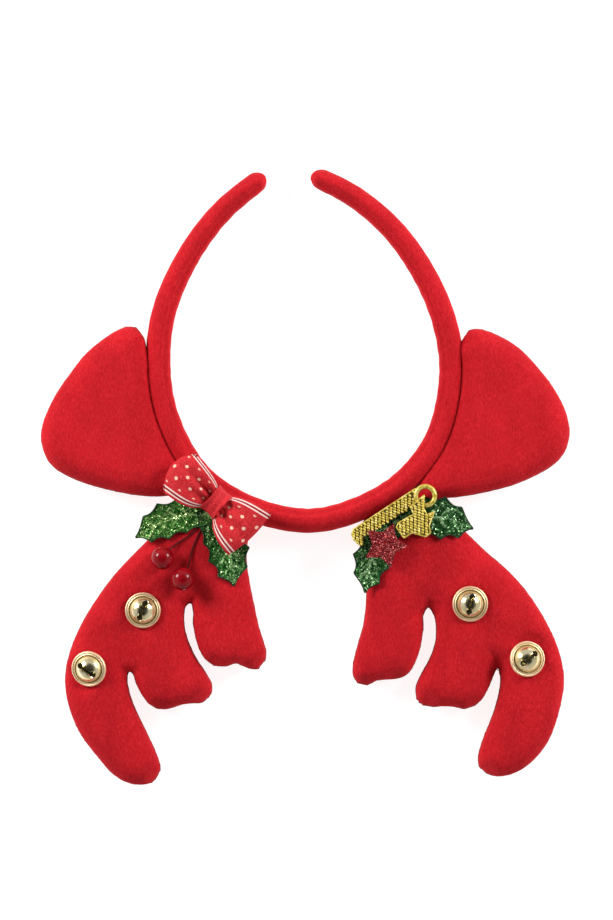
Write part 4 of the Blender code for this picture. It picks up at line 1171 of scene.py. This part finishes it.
# Cane and gold star: cut from gold braid, rows of small beads between smooth rolled edges, glued flat on the
# leaves. The cane curls into a ring at its top. The red star is card coated in fine red glitter.
CANE_PLACE = Vector((21.65, -26.47, 16.5)) * MM
CANE_HEADING = 33.2
CANE_LENGTH = 33.7 * MM
CANE_RING = 5.0 * MM
CANE_HOLE = 2.9 * MM
CANE_LOW = -0.6 * MM
CANE_FOOT = (
    (3.0, -0.6), (2.2, -1.2), (1.6, -2.4), (0.5, -3.0), (-0.3, -2.6), (-1.1, 0.0), (-1.2, 1.6), (-0.7, 3.2),
    (0.9, 5.0),
)  # fmt: skip
CANE_FOOT_EDGE = ((1.0, 4.6), (-0.5, 3.4), (-0.9, 1.6), (-0.9, 0.2), (-0.2, -2.4))
CANE_THICKNESS = 1.4 * MM
GOLD_STAR_PLACE = Vector((45.61, -17.75, 18.2)) * MM
GOLD_STAR_TURN = -57.6
GOLD_STAR_RADIUS = 10.3 * MM
GOLD_STAR_EDGE = (
    (-0.63, 0.83), (-0.22, 0.52), (0.11, 0.49), (0.15, 0.81), (0.53, 0.32), (0.79, 0.22), (0.81, -0.02),
    (0.38, -0.39), (0.39, -0.78), (-0.14, -0.81), (-0.24, -0.65), (-0.22, -0.06), (-0.14, 0.05),
    (-0.52, 0.11),
)  # fmt: skip
RED_STAR_PLACE = Vector((33.18, -28.39, 18.2)) * MM
RED_STAR_TURN = -3.0
RED_STAR_RADIUS = 9.7 * MM
RED_STAR_NOTCH = 5.4 * MM
STAR_THICKNESS = 1.2 * MM
RED_CHIPS = 900
RED_CHIP_SIZES = (0.14, 0.26)
RED_DARK, RED_MID, RED_LIGHT = (0.12, 0.003, 0.005), (0.40, 0.014, 0.018), (0.80, 0.24, 0.22)


def plate(name, outlines, thickness, bevel, material):
    """Flat plate with softened edges, from an outline and any holes in it."""
    data = bpy.data.curves.new(name, "CURVE")
    data.dimensions = "2D"
    data.fill_mode = "BOTH"
    data.extrude = thickness / 2 - bevel
    data.bevel_depth = bevel
    data.bevel_resolution = 2
    data.offset = -bevel
    for line in outlines:
        spline = data.splines.new("POLY")
        spline.points.add(len(line) - 1)
        for point, place in zip(spline.points, line):
            point.co = (place[0], place[1], 0.0, 1.0)
        spline.use_cyclic_u = True
    piece = new_piece(name, data)
    only(piece)
    bpy.ops.object.convert(target="MESH")
    piece = bpy.context.object
    weld(piece, 0.000002)
    put(piece, spots(piece) + np.array((0.0, 0.0, thickness / 2)))
    bpy.ops.object.shade_smooth_by_angle(angle=math.radians(40.0))
    piece.data.materials.append(material)
    return piece


def in_outline(x, y, line):
    found = False
    for (ax, ay), (bx, by) in zip(line, [*line[1:], line[0]]):
        if (ay > y) != (by > y) and x < ax + (bx - ax) * (y - ay) / (by - ay):
            found = not found
    return found


def make_braid():
    """Yellow gold thread braid, in patches of darker and paler gold; the dark brown between its beads is
    painted shade on the backing plate.
    """
    gold = principled("gold_braid", (0.66, 0.50, 0.085), 0.32, 0.35)
    patches = noise_at(gold, 700.0)
    tones = (0.30, (0.46, 0.33, 0.03)), (0.52, (0.76, 0.60, 0.10)), (0.72, (1.0, 0.90, 0.38))
    colour = ramp(gold, patches, *tones)
    return wear(gold, colour, noise_at(gold, 3500.0), 0.25, 0.00010)


BEAD_STEP = 0.70
BEAD_SLANT = 0.95
BEAD_PITCH = 1.55 * MM
BEAD_STAND = 0.3 * MM
BRAID_BEVEL = 0.25 * MM
RING_CORD = 1.0 * MM
EDGE_CORD = 0.36 * MM
STAR_CORD = 0.34 * MM
braid = make_braid()
# Dark brown backing that shows between the beads: painted shade between them.
braid_shade_ground = principled("braid_shade_ground", (0.10, 0.065, 0.010), 0.7)
wear(braid_shade_ground, None, noise_at(braid_shade_ground, 2500.0), 0.4, 0.0001)
braid_bead = ball(8, 6)


def beads_in(name, keep, reach, columns, pitch, top):
    """Columns of slanted beads at an angle wherever keep(x, y) holds, standing half out of a plate's top."""
    places = []
    turn = math.radians(columns)
    along = Vector((math.cos(turn), math.sin(turn), 0.0))
    across = Vector((-along.y, along.x, 0.0))
    step = pitch * BEAD_STEP
    for i in range(-round(reach / pitch), round(reach / pitch) + 1):
        for j in range(-round(reach / step), round(reach / step) + 1):
            place = across * (i + jitter(0.06)) * pitch
            place += along * (j + 0.5 * (i % 2) + jitter(0.10)) * step
            if keep(place.x, place.y):
                size = Matrix.Diagonal((0.52 * pitch, 0.35 * pitch, 0.44 * pitch, 1.0))
                spin = Matrix.Rotation(turn + BEAD_SLANT + jitter(0.15), 4, "Z")
                lift = Vector((0.0, 0.0, top + jitter(0.06) * MM))
                places.append(Matrix.Translation(place + lift) @ spin @ size)
    return scattered(name, braid_bead, places, braid)


def arc(radius, turns, x=0.0):
    """Points on a circle round (x, 0)."""
    return [(x + radius * math.cos(turn), radius * math.sin(turn)) for turn in turns]


sweep = math.pi * 1.5 + math.asin(CANE_LOW / CANE_RING)
outline = arc(CANE_RING, [math.pi / 2 - sweep * i / 48 for i in range(49)], CANE_LENGTH)
outline += [(x * MM, y * MM) for x, y in CANE_FOOT]
hole = arc(CANE_HOLE, [math.tau * i / 32 for i in range(32)], CANE_LENGTH)
cane = plate("gold_cane_braid", [outline, hole], CANE_THICKNESS - BEAD_STAND, BRAID_BEVEL, braid_shade_ground)


def on_stick(x, y):
    ring = math.hypot(x - CANE_LENGTH, y)
    return in_outline(x, y, outline) and ring > CANE_RING and x < CANE_LENGTH - 2 * MM and y < 4.4 * MM


cane_beads = beads_in("cane_beads", on_stick, 36 * MM, 90.0 - CANE_HEADING, BEAD_PITCH, 1.15 * MM)
ring_turns = [math.tau * i / 64 for i in range(64)]
ring_line = arc((CANE_RING + CANE_HOLE) / 2, ring_turns, CANE_LENGTH)
ring_line = [Vector((*point, 0.9 * MM)) for point in ring_line]
ring_cord = tube("cane_ring", ring_line, RING_CORD, braid, True, 12)
rib_line = [Vector((x * MM, 4.72 * MM, 1.15 * MM)) for x in range(1, 33)]
foot_line = [Vector((x * MM, y * MM, 1.15 * MM)) for x, y in CANE_FOOT_EDGE]
foot_line = even_line(smooth_line(foot_line, 4), 0.5 * MM)
edge_cord = tube("cane_edge", [*reversed(foot_line), *rib_line], EDGE_CORD, braid, False, 8)
joined(cane, cane_beads, ring_cord, edge_cord)
lay(cane, CANE_PLACE, CANE_HEADING)
finish_piece(cane, None, "gold_glitter", "gold_cane")

star_edge = [(x * GOLD_STAR_RADIUS, y * GOLD_STAR_RADIUS) for x, y in GOLD_STAR_EDGE]
star = plate("gold_star_braid", [star_edge], STAR_THICKNESS - BEAD_STAND, BRAID_BEVEL, braid_shade_ground)


def on_star(x, y):
    return in_outline(x * 1.07, y * 1.07, star_edge)


star_beads = beads_in("star_beads", on_star, GOLD_STAR_RADIUS, 90.0 - GOLD_STAR_TURN, BEAD_PITCH, 0.95 * MM)
rim = even_line([Vector((x, y, 0.85 * MM)) for x, y in star_edge], 0.5 * MM, closed=True)
joined(star, star_beads, tube("star_rim", rim, STAR_CORD, braid, True, 8))
lay(star, GOLD_STAR_PLACE, GOLD_STAR_TURN)
finish_piece(star, None, "gold_glitter", "gold_star")

red_edge = []
for i in range(10):
    red_edge += arc(RED_STAR_NOTCH if i % 2 else RED_STAR_RADIUS, [math.tau * i / 10])
red_card = make_glitter("red_glitter_card", RED_DARK, RED_MID, RED_LIGHT, 0.4, 2200.0)
red_star = plate("red_star_card", [red_edge], STAR_THICKNESS - 0.2 * MM, 0.2 * MM, red_card)
places = []
tones = []
while len(places) < RED_CHIPS:
    x, y = jitter(RED_STAR_RADIUS), jitter(RED_STAR_RADIUS)
    if not in_outline(x, y, red_edge):
        continue
    size = random.uniform(*RED_CHIP_SIZES) * MM
    tilt = Matrix.Rotation(jitter(0.7), 4, "X") @ Matrix.Rotation(jitter(0.7), 4, "Y")
    places.append(Matrix.Translation((x, y, 1.05 * MM)) @ tilt @ Matrix.Diagonal((size, size, 0.6 * MM, 1.0)))
    tones.append(random.random() ** 1.8)
red_chip = make_flakes("red_chip", RED_DARK, RED_MID, RED_LIGHT, 0.5)
joined(red_star, scattered("red_chips", flake_shape, places, red_chip, tones))
lay(red_star, RED_STAR_PLACE, RED_STAR_TURN)
finish_piece(red_star, None, "red_glitter", "red_star")
